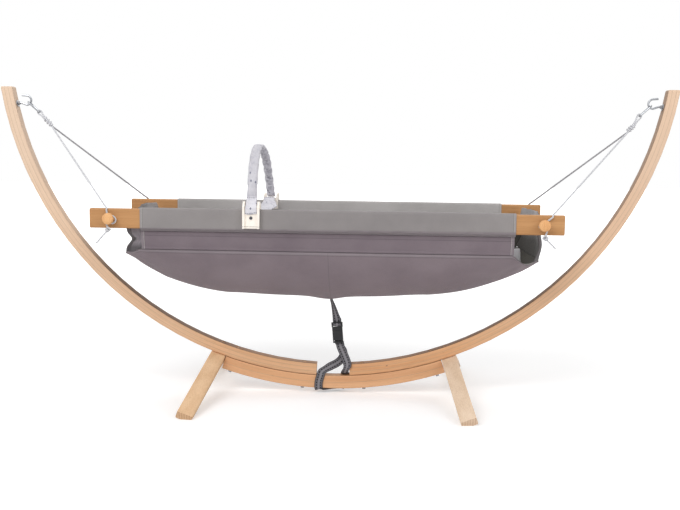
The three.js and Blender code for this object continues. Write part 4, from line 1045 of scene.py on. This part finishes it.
def swollen(points, faces, pressure, cap):
    """Points after some steps of cloth under pressure, none moved further than the cap."""
    obj = add_mesh("swelling_form", points, faces, None, [])
    cloth = obj.modifiers.new("cloth", "CLOTH")
    settings = cloth.settings
    settings.use_pressure = True
    settings.uniform_pressure_force = pressure
    settings.quality = 4
    settings.mass = 0.3
    settings.tension_stiffness = 15
    settings.compression_stiffness = 15
    settings.bending_stiffness = 0.5
    settings.effector_weights.gravity = 0
    scene = bpy.context.scene
    for step in range(1, CLOTH_STEPS + 1):
        scene.frame_set(step)
    graph = bpy.context.evaluated_depsgraph_get()
    moved, _ = mesh_arrays(obj.evaluated_get(graph).to_mesh())
    scene.frame_set(1)
    bpy.data.objects.remove(obj)
    away = moved - points
    length = np.linalg.norm(away, axis=1, keepdims=True)
    return points + away * np.minimum(1, cap / np.maximum(length, 1e-9))


def subdivided(obj):
    """One level of subdivision, applied."""
    obj.modifiers.new("smooth", "SUBSURF").levels = 1
    graph = bpy.context.evaluated_depsgraph_get()
    mesh = bpy.data.meshes.new_from_object(obj.evaluated_get(graph))
    obj.modifiers.clear()
    obj.data = mesh


def pad_form():
    """Mattress as a closed grid form, a little smaller than its solid."""
    rows, cols = PAD_GRID
    u, v = unit_grid(rows, cols)
    x = (PAD_HALF - PAD_SHRINK) * (2 * u - 1) + PAD_SHIFT
    y = (PAD_HALF_WIDE - PAD_SHRINK) * (2 * v - 1)
    lower = body_point(x, y)
    lower[..., 2] += PANEL_THICK / 2 + PAD_REST + PAD_SHRINK / 2
    thick = PAD_THICK - 2 * PAD_SHRINK + PAD_CURL * smoothstep(0.8, 1, u)
    upper = lower + np.stack([-x * 0.004, -y * 0.02, thick], axis=-1)
    return np.concatenate([upper.reshape(-1, 3), lower.reshape(-1, 3)]), shell_faces(rows, cols)


def pad_seam(points):
    """Draws a welt in round the edge of the pad, and small puckers beside it."""
    x, y = points[:, 0], points[:, 1]
    rest = body_height(x, np.clip(y, -PAD_HALF_WIDE, PAD_HALF_WIDE)) + PANEL_THICK / 2 + PAD_REST
    height = points[:, 2] - rest
    ends = PAD_HALF - np.abs(x - PAD_SHIFT)
    sides = PAD_HALF_WIDE - np.abs(y)
    inward = np.minimum(ends, sides)
    edge = bell(inward / PAD_DRAW)
    welt = bell((height - WELT_HIGH) / WELT_REACH)
    along_x = ends < sides
    puckers = 0.5 + 0.5 * np.sin(np.where(along_x, y, x) / PUCKER_WAVE)
    shift = edge * (PUCKER_DEEP * puckers * (1 - welt) - 0.5 * welt)
    out = points.copy()
    out[:, 0] -= np.where(along_x, np.sign(x) * shift, 0)
    out[:, 1] -= np.where(along_x, 0, np.sign(y) * shift)
    out[:, 2] -= smoothstep(14, 40, height) * (0.6 + 0.6 * ripple(x / 26, y / 22, 41))
    return out


def mattress():
    points, faces = remeshed(*pad_form(), PAD_VOXEL)
    points = pad_seam(swollen(points, faces, PAD_PRESSURE, PAD_CAP))
    uv = points[:, :2] * MM
    obj = add_mesh("mattress_pad", to_world(points), faces, "hammock", [MAT["pad"]], uv)
    stand_in("mattress")


mattress()


# Toy arch, its routes as y and height over the rails
ARCH_LEGS = [(-228, 10.8), (-224, 50), (-214, 86), (-198, 116), (-170, 146), (-130, 168), (-85, 176)]
ARCH_BACK = [(-30, 172), (30, 158), (93, 132), (140, 96), (180, 58), (208, 30), (223, 14)]
COVER_ROUTE = [(249.3, -9), (249.6, 0), (249.2, 8), (246.5, 13), (241, 18), (236.5, 26), (232, 38)]
COVER_HALF, COVER_TAPER, PRINT_THICK = 16.8, 3.2, 1.6
HOOP_SHRINK, CLIP_WALL, CLIP_SLIDE = 1.5, 6.0, 0.8
HOOP_CREASE, HOOP_WRINKLE, HOOP_PINCH, PINCH_AT, PINCH_REACH = 3.0, 1.6, 1.2, 0.52, 12
BAND_HALF, BAND_SPREAD, BAND_SHIFT = 16.0, 13.0, 8.0
BAND_FOLD, BAND_CREASE, BAND_ENDS, BAND_SAG = 3.2, 1.5, (8, 17), 4
BAND_GRID, COVER_GRID, HOOP_SIDES = (141, 19), (41, 25), 28


def hoop_line(per_span):
    line = smooth_line([vec(ARCH_X, y, z) for y, z in ARCH_LEGS + ARCH_BACK], per_span)
    return line, lengths_along(line), unit_rows(np.gradient(line, axis=0))


def hoop_form():
    """Padded strip of the arch as a tube of soft section, a little smaller than its solid."""
    line, lengths, tangents = hoop_line(10)
    sides = HOOP_SIDES
    turn = np.arange(sides) * 2 * math.pi / sides
    wide = np.sign(np.cos(turn)) * np.abs(np.cos(turn)) ** 0.6
    deep = np.sign(np.sin(turn)) * np.abs(np.sin(turn)) ** 0.75
    points = []
    for p, t, s in zip(line, tangents, lengths):
        out = np.cross(t, vec(1, 0, 0))
        fill = 0.78 + 0.22 * smoothstep(0, 14, min(s, lengths[-1] - s))
        half_wide = (ARCH_WIDE / 2 - HOOP_SHRINK) * (0.5 + 0.5 * fill)
        half_deep = (ARCH_THICK / 2 - HOOP_SHRINK) * fill
        ring = p + np.outer(wide * half_wide, vec(1, 0, 0)) + np.outer(deep * half_deep, out)
        points.append(ring)
    rows = len(line)
    faces = ring_faces(rows, sides, flip=True)
    faces.append(tuple(range(sides)))
    faces.append(tuple((rows - 1) * sides + j for j in reversed(range(sides))))
    return np.concatenate(points), faces


def along_hoop(points):
    """For each point: length along the hoop, place across it and the outward direction there."""
    line, lengths, tangents = hoop_line(24)
    nearest = np.argmin(((points[:, None, 1:] - line[None, :, 1:]) ** 2).sum(axis=2), axis=1)
    outward = np.cross(tangents[nearest], vec(1, 0, 0))
    deep = ((points - line[nearest]) * outward).sum(axis=1)
    return lengths[nearest], points[:, 0] - ARCH_X, deep, outward, lengths[-1]


def hoop_wrinkles(points):
    """Crumples the hoop: softly on the front leg, hard over the top and down the rear leg."""
    s, x, deep, outward, whole = along_hoop(points)
    crumpled = 0.45 + 0.75 * smoothstep(0.38 * whole, 0.55 * whole, s)
    held = smoothstep(0, 30, np.minimum(s, whole - s))
    coarse = np.abs(np.sin(s / 9 + 0.9 * np.sin(x / 7 + s / 31)))
    fine = np.abs(np.sin(s / 4.3 + 1.3 * np.sin(x / 5) + 2.1 * np.sin(s / 17)))
    pinch = bell((s - PINCH_AT * whole) / PINCH_REACH)
    wrinkles = HOOP_CREASE * (1 - coarse) ** 2 + HOOP_WRINKLE * (1 - fine) ** 2
    depth = held * crumpled * wrinkles + HOOP_PINCH * pinch
    moved = points - outward * (np.sign(deep) * depth * smoothstep(0, 5, np.abs(deep)))[:, None]
    narrow = 1 - 0.13 * held * crumpled * np.sin(s / 13 + 0.6) ** 2 - 0.06 * pinch
    moved[:, 0] = ARCH_X + (moved[:, 0] - ARCH_X) * narrow
    return moved, np.stack([x, s], axis=1) * MM


def arch_hoop():
    points, faces = remeshed(*hoop_form(), HOOP_VOXEL)
    points, uv = hoop_wrinkles(swollen(points, faces, HOOP_PRESSURE, HOOP_CAP))
    obj = add_mesh("arch_hoop_pad", to_world(points), faces, None, [MAT["hoop"]], uv)
    subdivided(obj)
    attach(obj, "toy_arch")
    stand_in("arch_hoop")


arch_hoop()


def band_surface(u, v):
    """Printed cloth stretched between the two saddles, crumpled, its ends standing up against them."""
    end = RAIL_OUTER - RAIL_THICK - SLEEVE_WALL - CLIP_SLIDE - CLIP_WALL - 3 * GAP
    share = 2 * u - 1
    held = smoothstep(0, 0.08, 0.5 - np.abs(u - 0.5))
    mid = 1 - share ** 2
    fold = 1 - np.abs(np.sin(u * 31 + 0.8 * np.sin(v * 5 + u * 9)))
    creases = BAND_CREASE * (ripple(u * 60, v * 5, 51) + np.sin(np.pi * v))
    crumple = held * (BAND_FOLD * fold ** 2 + creases)
    rise = np.where(share < 0, *BAND_ENDS) * np.abs(share) ** 9
    half = BAND_HALF + BAND_SPREAD * mid + held * np.sin(u * 37)
    x = half * (2 * v - 1) + BAND_SHIFT * mid - 4 * smoothstep(0.4, 1, share)
    return np.stack([ARCH_X + x, end * share, crumple + rise - BAND_SAG * (1 + mid)], axis=-1)


def cover_surface(u, v):
    """Foot of the hoop's cloth, drawn down over the front saddle between its ears."""
    route = smooth_line([vec(y, z) for y, z in COVER_ROUTE], 8)
    share = np.linspace(0, 1, len(route))
    y, z = np.interp(u, share, route[:, 0]), np.interp(u, share, route[:, 1])
    y = y + 0.7 * np.abs(ripple(v * 9, u * 5, 57)) * np.sin(np.pi * v)
    half = COVER_HALF - COVER_TAPER * u
    return np.stack([ARCH_X + half * (2 * v - 1), -y, z - 1.2 * np.sin(5 * v) * (1 - u)], axis=-1)


def printed_sheet(name, surface, grid):
    points, faces, uv, edge = cloth_shell(surface, *grid, PRINT_THICK)
    obj = add_mesh(name, to_world(points), faces, "toy_arch", [MAT["band"]], uv[:, ::-1], edge)
    width, length = flat_size(surface)
    area = sheet_area(surface)
    return obj


band = printed_sheet("arch_base_band", band_surface, BAND_GRID)
stand_in("arch_band")
printed_sheet("arch_foot_cover", cover_surface, COVER_GRID)


# Ropes
def frames_along(points):
    points = np.asarray(points, float)
    tangents = unit_rows(np.gradient(points, axis=0))
    side = vec(0, 1, 0) if abs(tangents[0][1]) < 0.9 else vec(1, 0, 0)
    out = []
    for p, t in zip(points, tangents):
        side = side - t * side.dot(t)
        side /= np.linalg.norm(side)
        out.append((p, side.copy(), np.cross(t, side)))
    return out


def tube_mesh(points, radius, start):
    """Closed tube of one radius, or of a radius for each point."""
    sides = ROPE_SIDES
    rings, uv, along = [], [], 0.0
    line = frames_along(points)
    radii = np.broadcast_to(radius, len(line))
    for k, (p, a, b) in enumerate(line):
        along += np.linalg.norm(p - line[max(k - 1, 0)][0])
        for j in range(sides + 1):
            turn = 2 * math.pi * j / sides
            rings.append(p + radii[k] * (a * math.cos(turn) + b * math.sin(turn)))
            uv.append((j / sides, along * MM))
    cols = sides + 1
    faces = grid_faces(len(line), cols, start, True)
    faces.append(tuple(start + j for j in range(sides)))
    faces.append(tuple(start + (len(line) - 1) * cols + sides - 1 - j for j in range(sides)))
    return rings, faces, uv


def rope_piece(name, lines, replaced, key):
    """One rope object from several tubes given as points and radius."""
    points, faces, uv = [], [], []
    for line, radius in lines:
        p, f, t = tube_mesh(line, radius, len(points))
        points += p
        faces += f
        uv += t
    obj = add_mesh(name, np.array(points), faces, "hammock", [MAT[key]], uv)
    sharpen(obj, 60)
    stand_in(replaced)


PULL_ANGLE = math.radians(42.8)
HOOK_RING, RING_RADIUS, HOOK_WIRE, SNAP_SLACK, SNAP_LONG = (925.5, 872.0), 13.75, 3.25, 0.5, 45
EYE_CORE, EYE_COIL, ROPE_SIDES = 4.6, 5.0, 16
SNAP_KNOTS = {"left": [(51.5, 51), (75.5, 75)], "right": [(51.5, 61), (70.5, 80)]}
PEG_KNOTS = {"left": [(2.5, 30.1), (32.1, 65.4)], "right": [(3.5, 33.9), (29, 59.9)]}
RAIL_CROSSING = {"left": 8.0, "right": 23.5}
WRAP_FROM, WRAP_TO = math.radians(50), math.radians(-353)
WRAP_LOOSE = {"left": 9.5, "right": 3.0}


def snap_knot(name):
    side = SIDES[name]
    ends = [(HOOK_RING[0] - inward, HOOK_RING[1] - down) for inward, down in SNAP_KNOTS[name]]
    return [vec(side * x, 0, z) for x, z in ends]


def coil(start, end, radius, turns):
    """Turns of rope about the line between two points, a little wider in the middle."""
    line = unit(end - start)
    a = vec(0, 1, 0)
    b = np.cross(line, a)
    out = []
    for share in np.linspace(0, 1, 24 * turns + 1):
        turn = 2 * math.pi * turns * share
        r = radius + 0.5 * math.sin(math.pi * share)
        out.append(start + (end - start) * share + r * (a * math.cos(turn) + b * math.sin(turn)))
    return np.array(out)


def rope_loop(name):
    side = SIDES[name]
    pull = vec(-side * math.cos(PULL_ANGLE), 0, -math.sin(PULL_ANGLE))
    inside = RING_RADIUS - HOOK_WIRE - SNAP_WIRE - SNAP_SLACK
    centre = vec(side * HOOK_RING[0], 0, HOOK_RING[1]) + pull * (inside + SNAP_LONG)
    across = vec(pull[2], 0, -pull[0])
    top, foot = snap_knot(name)
    line = unit(foot - top)
    radius = SNAP_WIRE + ROPE_R + 3 * GAP
    turns = [math.pi * i / 8 for i in range(9)]
    bend = [centre + radius * (across * math.cos(t) - pull * math.sin(t)) for t in turns]
    inner = top + line * 5
    first, last = inner + across * ROPE_PAIR, inner - across * ROPE_PAIR
    eye = [first, (bend[0] + inner) / 2, *bend, (bend[8] + inner) / 2, last]
    core = smooth_line([top + line, (top + foot) / 2, foot - line * 0.5], 6)
    wound = coil(top + line * ROPE_R, foot - line * ROPE_R, EYE_COIL, 3)
    lines = [(smooth_line(eye, 4), ROPE_R), (core, EYE_CORE), (wound, ROPE_R)]
    rope_piece(f"rope_eye_{name}", lines, f"rope_loop_{name}", "rope")


def end_knot(knot, tail):
    """Overhand knot at the end of a rope: a thick loop, a turn through it and a wrapped core."""
    direction = unit(tail - knot)
    a, b = np.cross(direction, vec(0, 1, 0)), vec(0, 1, 0)
    turns = np.linspace(0, 2 * math.pi, 33)
    loops = []
    for lean, reach, shift in ((2.6, 5.2, -4.0), (-3.0, 4.8, 0.5), (2.2, 4.2, 4.5)):
        ring = [knot + direction * (shift + lean * math.sin(t)) + reach * (a * math.cos(t) + b * math.sin(t))
                for t in turns]
        loops.append((np.array(ring), ROPE_R * 0.95))
    return loops


def frayed(tail, direction):
    """Loose strands that spread from the cut end of a rope."""
    a, b = np.cross(direction, vec(0, 1, 0)), vec(0, 1, 0)
    strands = []
    for k in range(5):
        turn = 2 * math.pi * k / 5 + 0.4
        out = a * math.cos(turn) + b * math.sin(turn)
        steps = np.linspace(0, 1, 6)[:, None]
        line = tail + out * (1.0 + 1.6 * steps ** 2) + direction * (6.0 * steps - 1.5)
        strands.append((line, 0.9 - 0.5 * steps[:, 0]))
    return strands


def hanging_rope(name, end):
    side, way = SIDES[name], ENDS[end]
    start = snap_knot(name)[1] + vec(-side * GAP, way * ROPE_PAIR, -2 * GAP - ROPE_R)
    peg = on_hammock(side * PEG_X, way * RAIL_OUTER, -RAIL_HIGH / 2)
    cross_x = side * (PEG_X + RAIL_CROSSING[name])
    top = on_hammock(cross_x, way * (RAIL_OUTER - RAIL_ROUND), -RAIL_ROUND)
    bend = RAIL_ROUND + ROPE_R + 2 * GAP
    turns = [math.pi / 4 * (1 + share) for share in (0.1, 0.5, 0.9)]
    over = [top + vec(0, way * bend * math.sin(t), bend * math.cos(t)) for t in turns]
    run = [start + (over[0] - start) * i / 23 for i in range(23)]
    wrap_r = PEG_NECK + ROPE_R + WRAP_SLACK
    near_y, far_y = ROPE_R + 2 * GAP, PEG_NECK_LONG - ROPE_R - 2 * GAP
    wrap = []
    for share in np.linspace(0, 1, 14):
        turn = WRAP_FROM + (WRAP_TO - WRAP_FROM) * share
        y = way * (near_y + (far_y - near_y) * share)
        inboard = max(-math.cos(turn - math.radians(20)), 0) ** 2
        r = wrap_r + WRAP_LOOSE[name] * inboard * math.sin(math.pi * share)
        wrap.append(peg + vec(side * r * math.cos(turn), y, r * math.sin(turn)))
    (knot_out, knot_down), (tail_out, tail_down) = PEG_KNOTS[name]
    outward = way * (PEG_NECK_LONG - ROPE_R)
    knot = peg + vec(side * knot_out, outward, -knot_down)
    tail = peg + vec(side * tail_out, outward + way * ROPE_R, -tail_down)
    sway = vec(-2 * side, 0, 2)
    points = [*run, *over, *wrap, (wrap[-1] + knot) / 2, knot, (knot + tail) / 2 + sway, tail]
    line = smooth_line(points, 3)
    direction = unit(tail - knot)
    lines = [(line, ROPE_R), *end_knot(knot, tail), *frayed(tail, direction)]
    # The rear cords take the darker copy of the braid, painted shade.
    key = "rope" if way < 0 else "rope_painted_shade"
    rope_piece(f"cord_{end}_{name}", lines, f"rope_{end}_{name}", key)


for name in SIDES:
    rope_loop(name)
    for end in ENDS:
        hanging_rope(name, end)


# Strap and buckle
STRAP_Y, BUCKLE_X, BUCKLE_Z, BUCKLE_LEAN = -10.0, 15 + 2 * GAP, 153.0, math.radians(-4.4)
BUCKLE = Matrix.Translation((BUCKLE_X, STRAP_Y, BUCKLE_Z)) @ Matrix.Rotation(BUCKLE_LEAN, 4, "Y")
LADDER_THICK, LADDER_BAR, BAR_HIGH, LADDER_TALL = 5.0, 4.0, 4.0, 14.0
PLUG_BASE, BUCKLE_TALL, SOCKET_DEEP, SLOT_HIGH = 10.0, 38.0, 5.5, 4.2
WRAP_TOP = BUCKLE_TALL + 2 * GAP + PLUG_BASE + LADDER_TALL + WEB_THICK
STRAP_DOWN_X, STRAP_UP_X = 36.0, -37.0
# The strap's way down and up, as x, y and height above the piece it goes round, and the width on the way down
STRAP_DOWN = [(35, -16, 58, 25), (44, -20.6, 32, 25), (40, -20.6, 18, 19), (36, -13.5, 7, 23)]
STRAP_DOWN.append((36, -3, 1.5, 25))
STRAP_CLIMB = [(-10, -7, 22), (10, -4, 32), (23, -3.5, 43), (31, -3.5, 57), (30, -4, 70), (22.5, -4.8, 84)]


def in_buckle(x, y, z):
    return np.array(BUCKLE @ Vector((x, y, z)))


def ribbon(name, stations, per_span, body):
    """Webbing through points and width vectors, with slightly rounded edges; gives its length too."""
    line = smooth_line([at for at, _ in stations], per_span)
    ways = smooth_line([wide for _, wide in stations], per_span)
    tangents = unit_rows(np.gradient(line, axis=0))
    half = WEB_THICK / 2
    section = [(-0.5, 0), (-0.485, -half), (-0.25, -half * 0.9), (0, -half), (0.25, -half * 0.9)]
    section.append((0.485, -half))
    section += [(-a, -b) for a, b in section]
    points, uv, along = [], [], 0.0
    for k, (p, w, t) in enumerate(zip(line, ways, tangents)):
        along += np.linalg.norm(p - line[max(k - 1, 0)])
        across = unit(w - t * w.dot(t))
        out = np.cross(t, across)
        points += [p + across * a * np.linalg.norm(w) + out * b for a, b in section]
        uv += [(a + 0.5, along * MM) for a, _ in section]
    count, rows = len(section), len(line)
    faces = ring_faces(rows, count)
    faces.append(tuple(reversed(range(count))))
    faces.append(tuple((rows - 1) * count + j for j in range(count)))
    obj = add_mesh(name, np.array(points), faces, body, [MAT["webbing"]], uv)
    sharpen(obj, 50)
    return obj, along * MM


def webbing_sheet(replaced):
    stand_in(replaced)


def plug_webbing():
    """Webbing laced through the plug's ladder, from above it and back up behind itself."""
    lower = BUCKLE_TALL + 2 * GAP + PLUG_BASE + GAP + LADDER_BAR / 2
    upper = lower + LADDER_BAR + BAR_HIGH
    bar = (lower + upper) / 2
    edge = LADDER_THICK / 2
    off = edge + WEB_THICK / 2 + GAP
    tail = off + 2.4 * WEB_THICK
    route = [(off, WRAP_TOP), (off, upper + LADDER_BAR / 2), (edge, upper + GAP), (-edge, upper - GAP)]
    route += [(-off, bar + WEB_THICK), (-off, bar - WEB_THICK), (-edge, lower + GAP), (edge, lower - GAP)]
    route += [(off, lower + GAP), (tail, bar), (tail, upper + LADDER_BAR)]
    route += [(tail - GAP, WRAP_TOP + WEB_WIDE / 3)]
    stations = []
    for i, (y, z) in enumerate(route):
        stations.append((in_buckle(max(i - 8, 0) * GAP, y, z), vec(WEB_WIDE, 0, 0)))
    obj, length = ribbon("webbing_in_plug", stations, 6, "buckle_plug_body")
    webbing_sheet("plug_webbing")


def strap_upper():
    y = LADDER_THICK / 2 + WEB_THICK / 2 + GAP
    foot, start = in_buckle(0, y, WRAP_TOP + 3 * GAP), in_buckle(0, y, WRAP_TOP + WEB_WIDE / 4)
    seam_z = HAMMOCK_Z + float(body_height(vec(0), vec(STRAP_Y))[0]) - PANEL_THICK / 2
    seam = vec(HAMMOCK_X + WEB_THICK * 4, STRAP_Y, seam_z)
    quarter = foot + (seam - foot) * 0.35 + vec(WEB_THICK, -WEB_THICK, 0)
    three = foot + (seam - foot) * 0.75 + vec(WEB_THICK, -WEB_THICK / 2, 0)
    ways = [(1, 0), (1, 0), (0.8, -1 / 3), (0.5, -0.5), (1 / 3, -1 / 3)]
    spots = (foot, start, quarter, three, seam)
    stations = [(at, WEB_WIDE * vec(a, b, 0)) for at, (a, b) in zip(spots, ways)]
    obj, length = ribbon("webbing_upper", stations, 12, None)
    webbing_sheet("strap_upper")
    return obj


def strap_route():
    """Stations of the lower strap: down from the socket, round the lower piece and up again."""
    off = WEB_THICK / 2 + 4 * GAP
    front = -ARM_WIDE / 2 - off
    back = -front
    foot, ease = FLOOR_CLEAR - off, ARM_ROUND

    def top_at(x):
        return ARC_Z - math.sqrt(ARM_RADIUS ** 2 - (abs(x) + WEB_WIDE / 2) ** 2) + off

    flat, diagonal = vec(WEB_WIDE, 0, 0), vec(WEB_WIDE * 0.8, -WEB_WIDE * 0.6, 0)
    bend = in_buckle(WEB_WIDE / 4, -WEB_THICK, -WEB_WIDE / 2)
    behind = SOCKET_DEEP + WEB_THICK
    stations = [
        (in_buckle(0, SOCKET_DEEP / 4, BAR_HIGH + SLOT_HIGH - WEB_THICK / 2), flat),
        (in_buckle(WEB_THICK / 2, SOCKET_DEEP * 0.8, BAR_HIGH + SLOT_HIGH / 2 + GAP), flat),
        (in_buckle(WEB_THICK, behind, GAP), flat),
        (in_buckle(WEB_WIDE / 5, SOCKET_DEEP / 2, -4 * WEB_THICK), flat),
        (bend, flat),
    ]
    down_x, up_x = STRAP_DOWN_X, STRAP_UP_X
    down_top, up_top = top_at(down_x), top_at(up_x)
    across = unit(vec(bend[2] - down_top, 0, down_x - bend[0]))
    for x, y, rise, wide in STRAP_DOWN:
        square = across if rise > WEB_WIDE else vec(1, 0, 0)
        stations.append((vec(x, y, down_top + rise), square * wide))
    middle = (down_top + foot) / 2
    route = [
        (down_x, back / 3, down_top, flat),
        (down_x, back - ease, down_top, flat),
        (down_x, back, down_top - ease, flat),
        (down_x - 2 * ease, back, middle, flat),
        (down_x - 3 * ease, back, foot + ease / 2, flat),
        (down_x - 3.5 * ease, back - ease / 2, foot, flat),
        (up_x / 4, 0, foot, diagonal),
        (up_x - ease, front + ease / 2, foot, flat),
        (up_x - 1.5 * ease, front, foot + ease / 2, flat),
        (up_x - 1.5 * ease, front, middle, flat),
        (up_x, front, up_top - ease, flat),
        (up_x + ease, front + ease, up_top + 2 * ease, flat),
    ]
    stations += [(vec(x, y, z), wide) for x, y, z, wide in route]
    arrive = in_buckle(2.5 * WEB_THICK, behind + 2 * WEB_THICK, GAP)
    climb = [vec(x, y, up_top + rise) for x, y, rise in STRAP_CLIMB]
    along = [stations[-1][0], *climb, arrive]
    for before, at, after in zip(along, climb, along[2:]):
        run = unit((after - before) * vec(1, 0, 1))
        stations.append((at, WEB_WIDE * vec(run[2], 0, -run[0])))
    return stations + [(arrive, flat)]


def strap_lower():
    obj, length = ribbon("webbing_lower", strap_route(), 8, None)
    webbing_sheet("strap_lower")
    return obj


plug_webbing()
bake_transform(strap_upper())
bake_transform(strap_lower())


# Camera, light and floor
CAMERA_PLACE, CAMERA_YAW, CAMERA_PITCH, CAMERA_ROLL = (0.1659, -2.9785, 0.7588), 0.0496, 0.1138, 0.0082
FOCAL_PX, IMAGE_WIDE, SENSOR_WIDE = 1000.0, 680, 36
FLOOR_TONE, FLOOR_LIFT, FLOOR_HALF, FLOOR_WHITE, WORLD_LIGHT = 0.8, 0.3, 14, (1.2, 4.5), 0.6
LAMPS = {
    "key": ((-1.6, -2.6, 3.0), 2.2, 72),
    "fill": ((2.6, -2.2, 1.8), 2.4, 31),
    "back": ((0.5, 2.6, 2.6), 2.0, 25),
}
LAMPS_FACE = (0, 0, 0.4)


def camera():
    cos, sin = math.cos, math.sin
    fwd = Vector((-sin(CAMERA_YAW), cos(CAMERA_YAW), 0))
    right = Vector((cos(CAMERA_YAW), sin(CAMERA_YAW), 0))
    up = Vector((0, 0, 1))
    ahead = fwd * cos(CAMERA_PITCH) - up * sin(CAMERA_PITCH)
    above = up * cos(CAMERA_PITCH) + fwd * sin(CAMERA_PITCH)
    x = right * cos(CAMERA_ROLL) + above * sin(CAMERA_ROLL)
    y = above * cos(CAMERA_ROLL) - right * sin(CAMERA_ROLL)
    data = bpy.data.cameras.new("camera")
    data.sensor_fit = "HORIZONTAL"
    data.sensor_width = SENSOR_WIDE
    data.lens = SENSOR_WIDE * FOCAL_PX / IMAGE_WIDE
    obj = bpy.data.objects.new("camera", data)
    obj.matrix_world = Matrix((
        (x[0], y[0], -ahead[0], CAMERA_PLACE[0]),
        (x[1], y[1], -ahead[1], CAMERA_PLACE[1]),
        (x[2], y[2], -ahead[2], CAMERA_PLACE[2]),
        (0, 0, 0, 1),
    ))
    bpy.context.scene.collection.objects.link(obj)
    bpy.context.scene.camera = obj


def lamp(name, at, size, power):
    data = bpy.data.lights.new(name, "AREA")
    data.energy = power
    data.size = size
    obj = bpy.data.objects.new(name, data)
    obj.location = at
    obj.rotation_euler = (Vector(LAMPS_FACE) - Vector(at)).to_track_quat("-Z", "Y").to_euler()
    bpy.context.scene.collection.objects.link(obj)


def floor():
    """Pale floor that keeps the shadow and, to the camera alone, shines up to the white of the background."""
    r = FLOOR_HALF
    mesh = bpy.data.meshes.new("floor")
    mesh.from_pydata([(-r, -r, 0), (r, -r, 0), (r, r, 0), (-r, r, 0)], [], [(0, 1, 2, 3)])
    obj = bpy.data.objects.new("floor", mesh)
    bpy.context.scene.collection.objects.link(obj)
    mat, tree, skin = material("floor_plain", 0.9)
    skin["Base Color"].default_value = grey(FLOOR_TONE)
    _, (x, y, _) = place(tree)
    far = fade(distance(x, y), *FLOOR_WHITE, FLOOR_LIFT, 1.0)
    seen = Term(tree.nodes.new("ShaderNodeLightPath").outputs["Is Camera Ray"])
    glow = made("ShaderNodeEmission", {"Color": WHITE, "Strength": far * seen})
    shader = [n for n in tree.nodes if n.type == "BSDF_PRINCIPLED"][0]
    out = [n for n in tree.nodes if n.type == "OUTPUT_MATERIAL"][0]
    feed(out.inputs[0], made("ShaderNodeAddShader", {0: Term(shader.outputs[0]), 1: glow}))
    mesh.materials.append(mat)


def world():
    """White to the camera and in reflections, softer as light."""
    data = bpy.data.worlds.new("world")
    data.use_nodes = True
    tree = data.node_tree
    tree.nodes.clear()
    rays = tree.nodes.new("ShaderNodeLightPath").outputs
    direct, glossy, through = (Term(rays[f"Is {kind} Ray"]) for kind in ("Camera", "Glossy", "Transmission"))
    seen = calc("MAXIMUM", calc("MAXIMUM", direct, glossy), through)
    shown = {0: seen}
    for i, strength in ((1, WORLD_LIGHT), (2, 1.0)):
        light = node(tree, "ShaderNodeBackground", {"Color": WHITE, "Strength": strength})
        shown[i] = Term(light.outputs[0])
    node(tree, "ShaderNodeOutputWorld", {0: made("ShaderNodeMixShader", shown)})
    bpy.context.scene.world = data


camera()
floor()
world()
for name, (at, size, power) in LAMPS.items():
    lamp(name, at, size, power)
bpy.context.scene.view_settings.view_transform = "Standard"
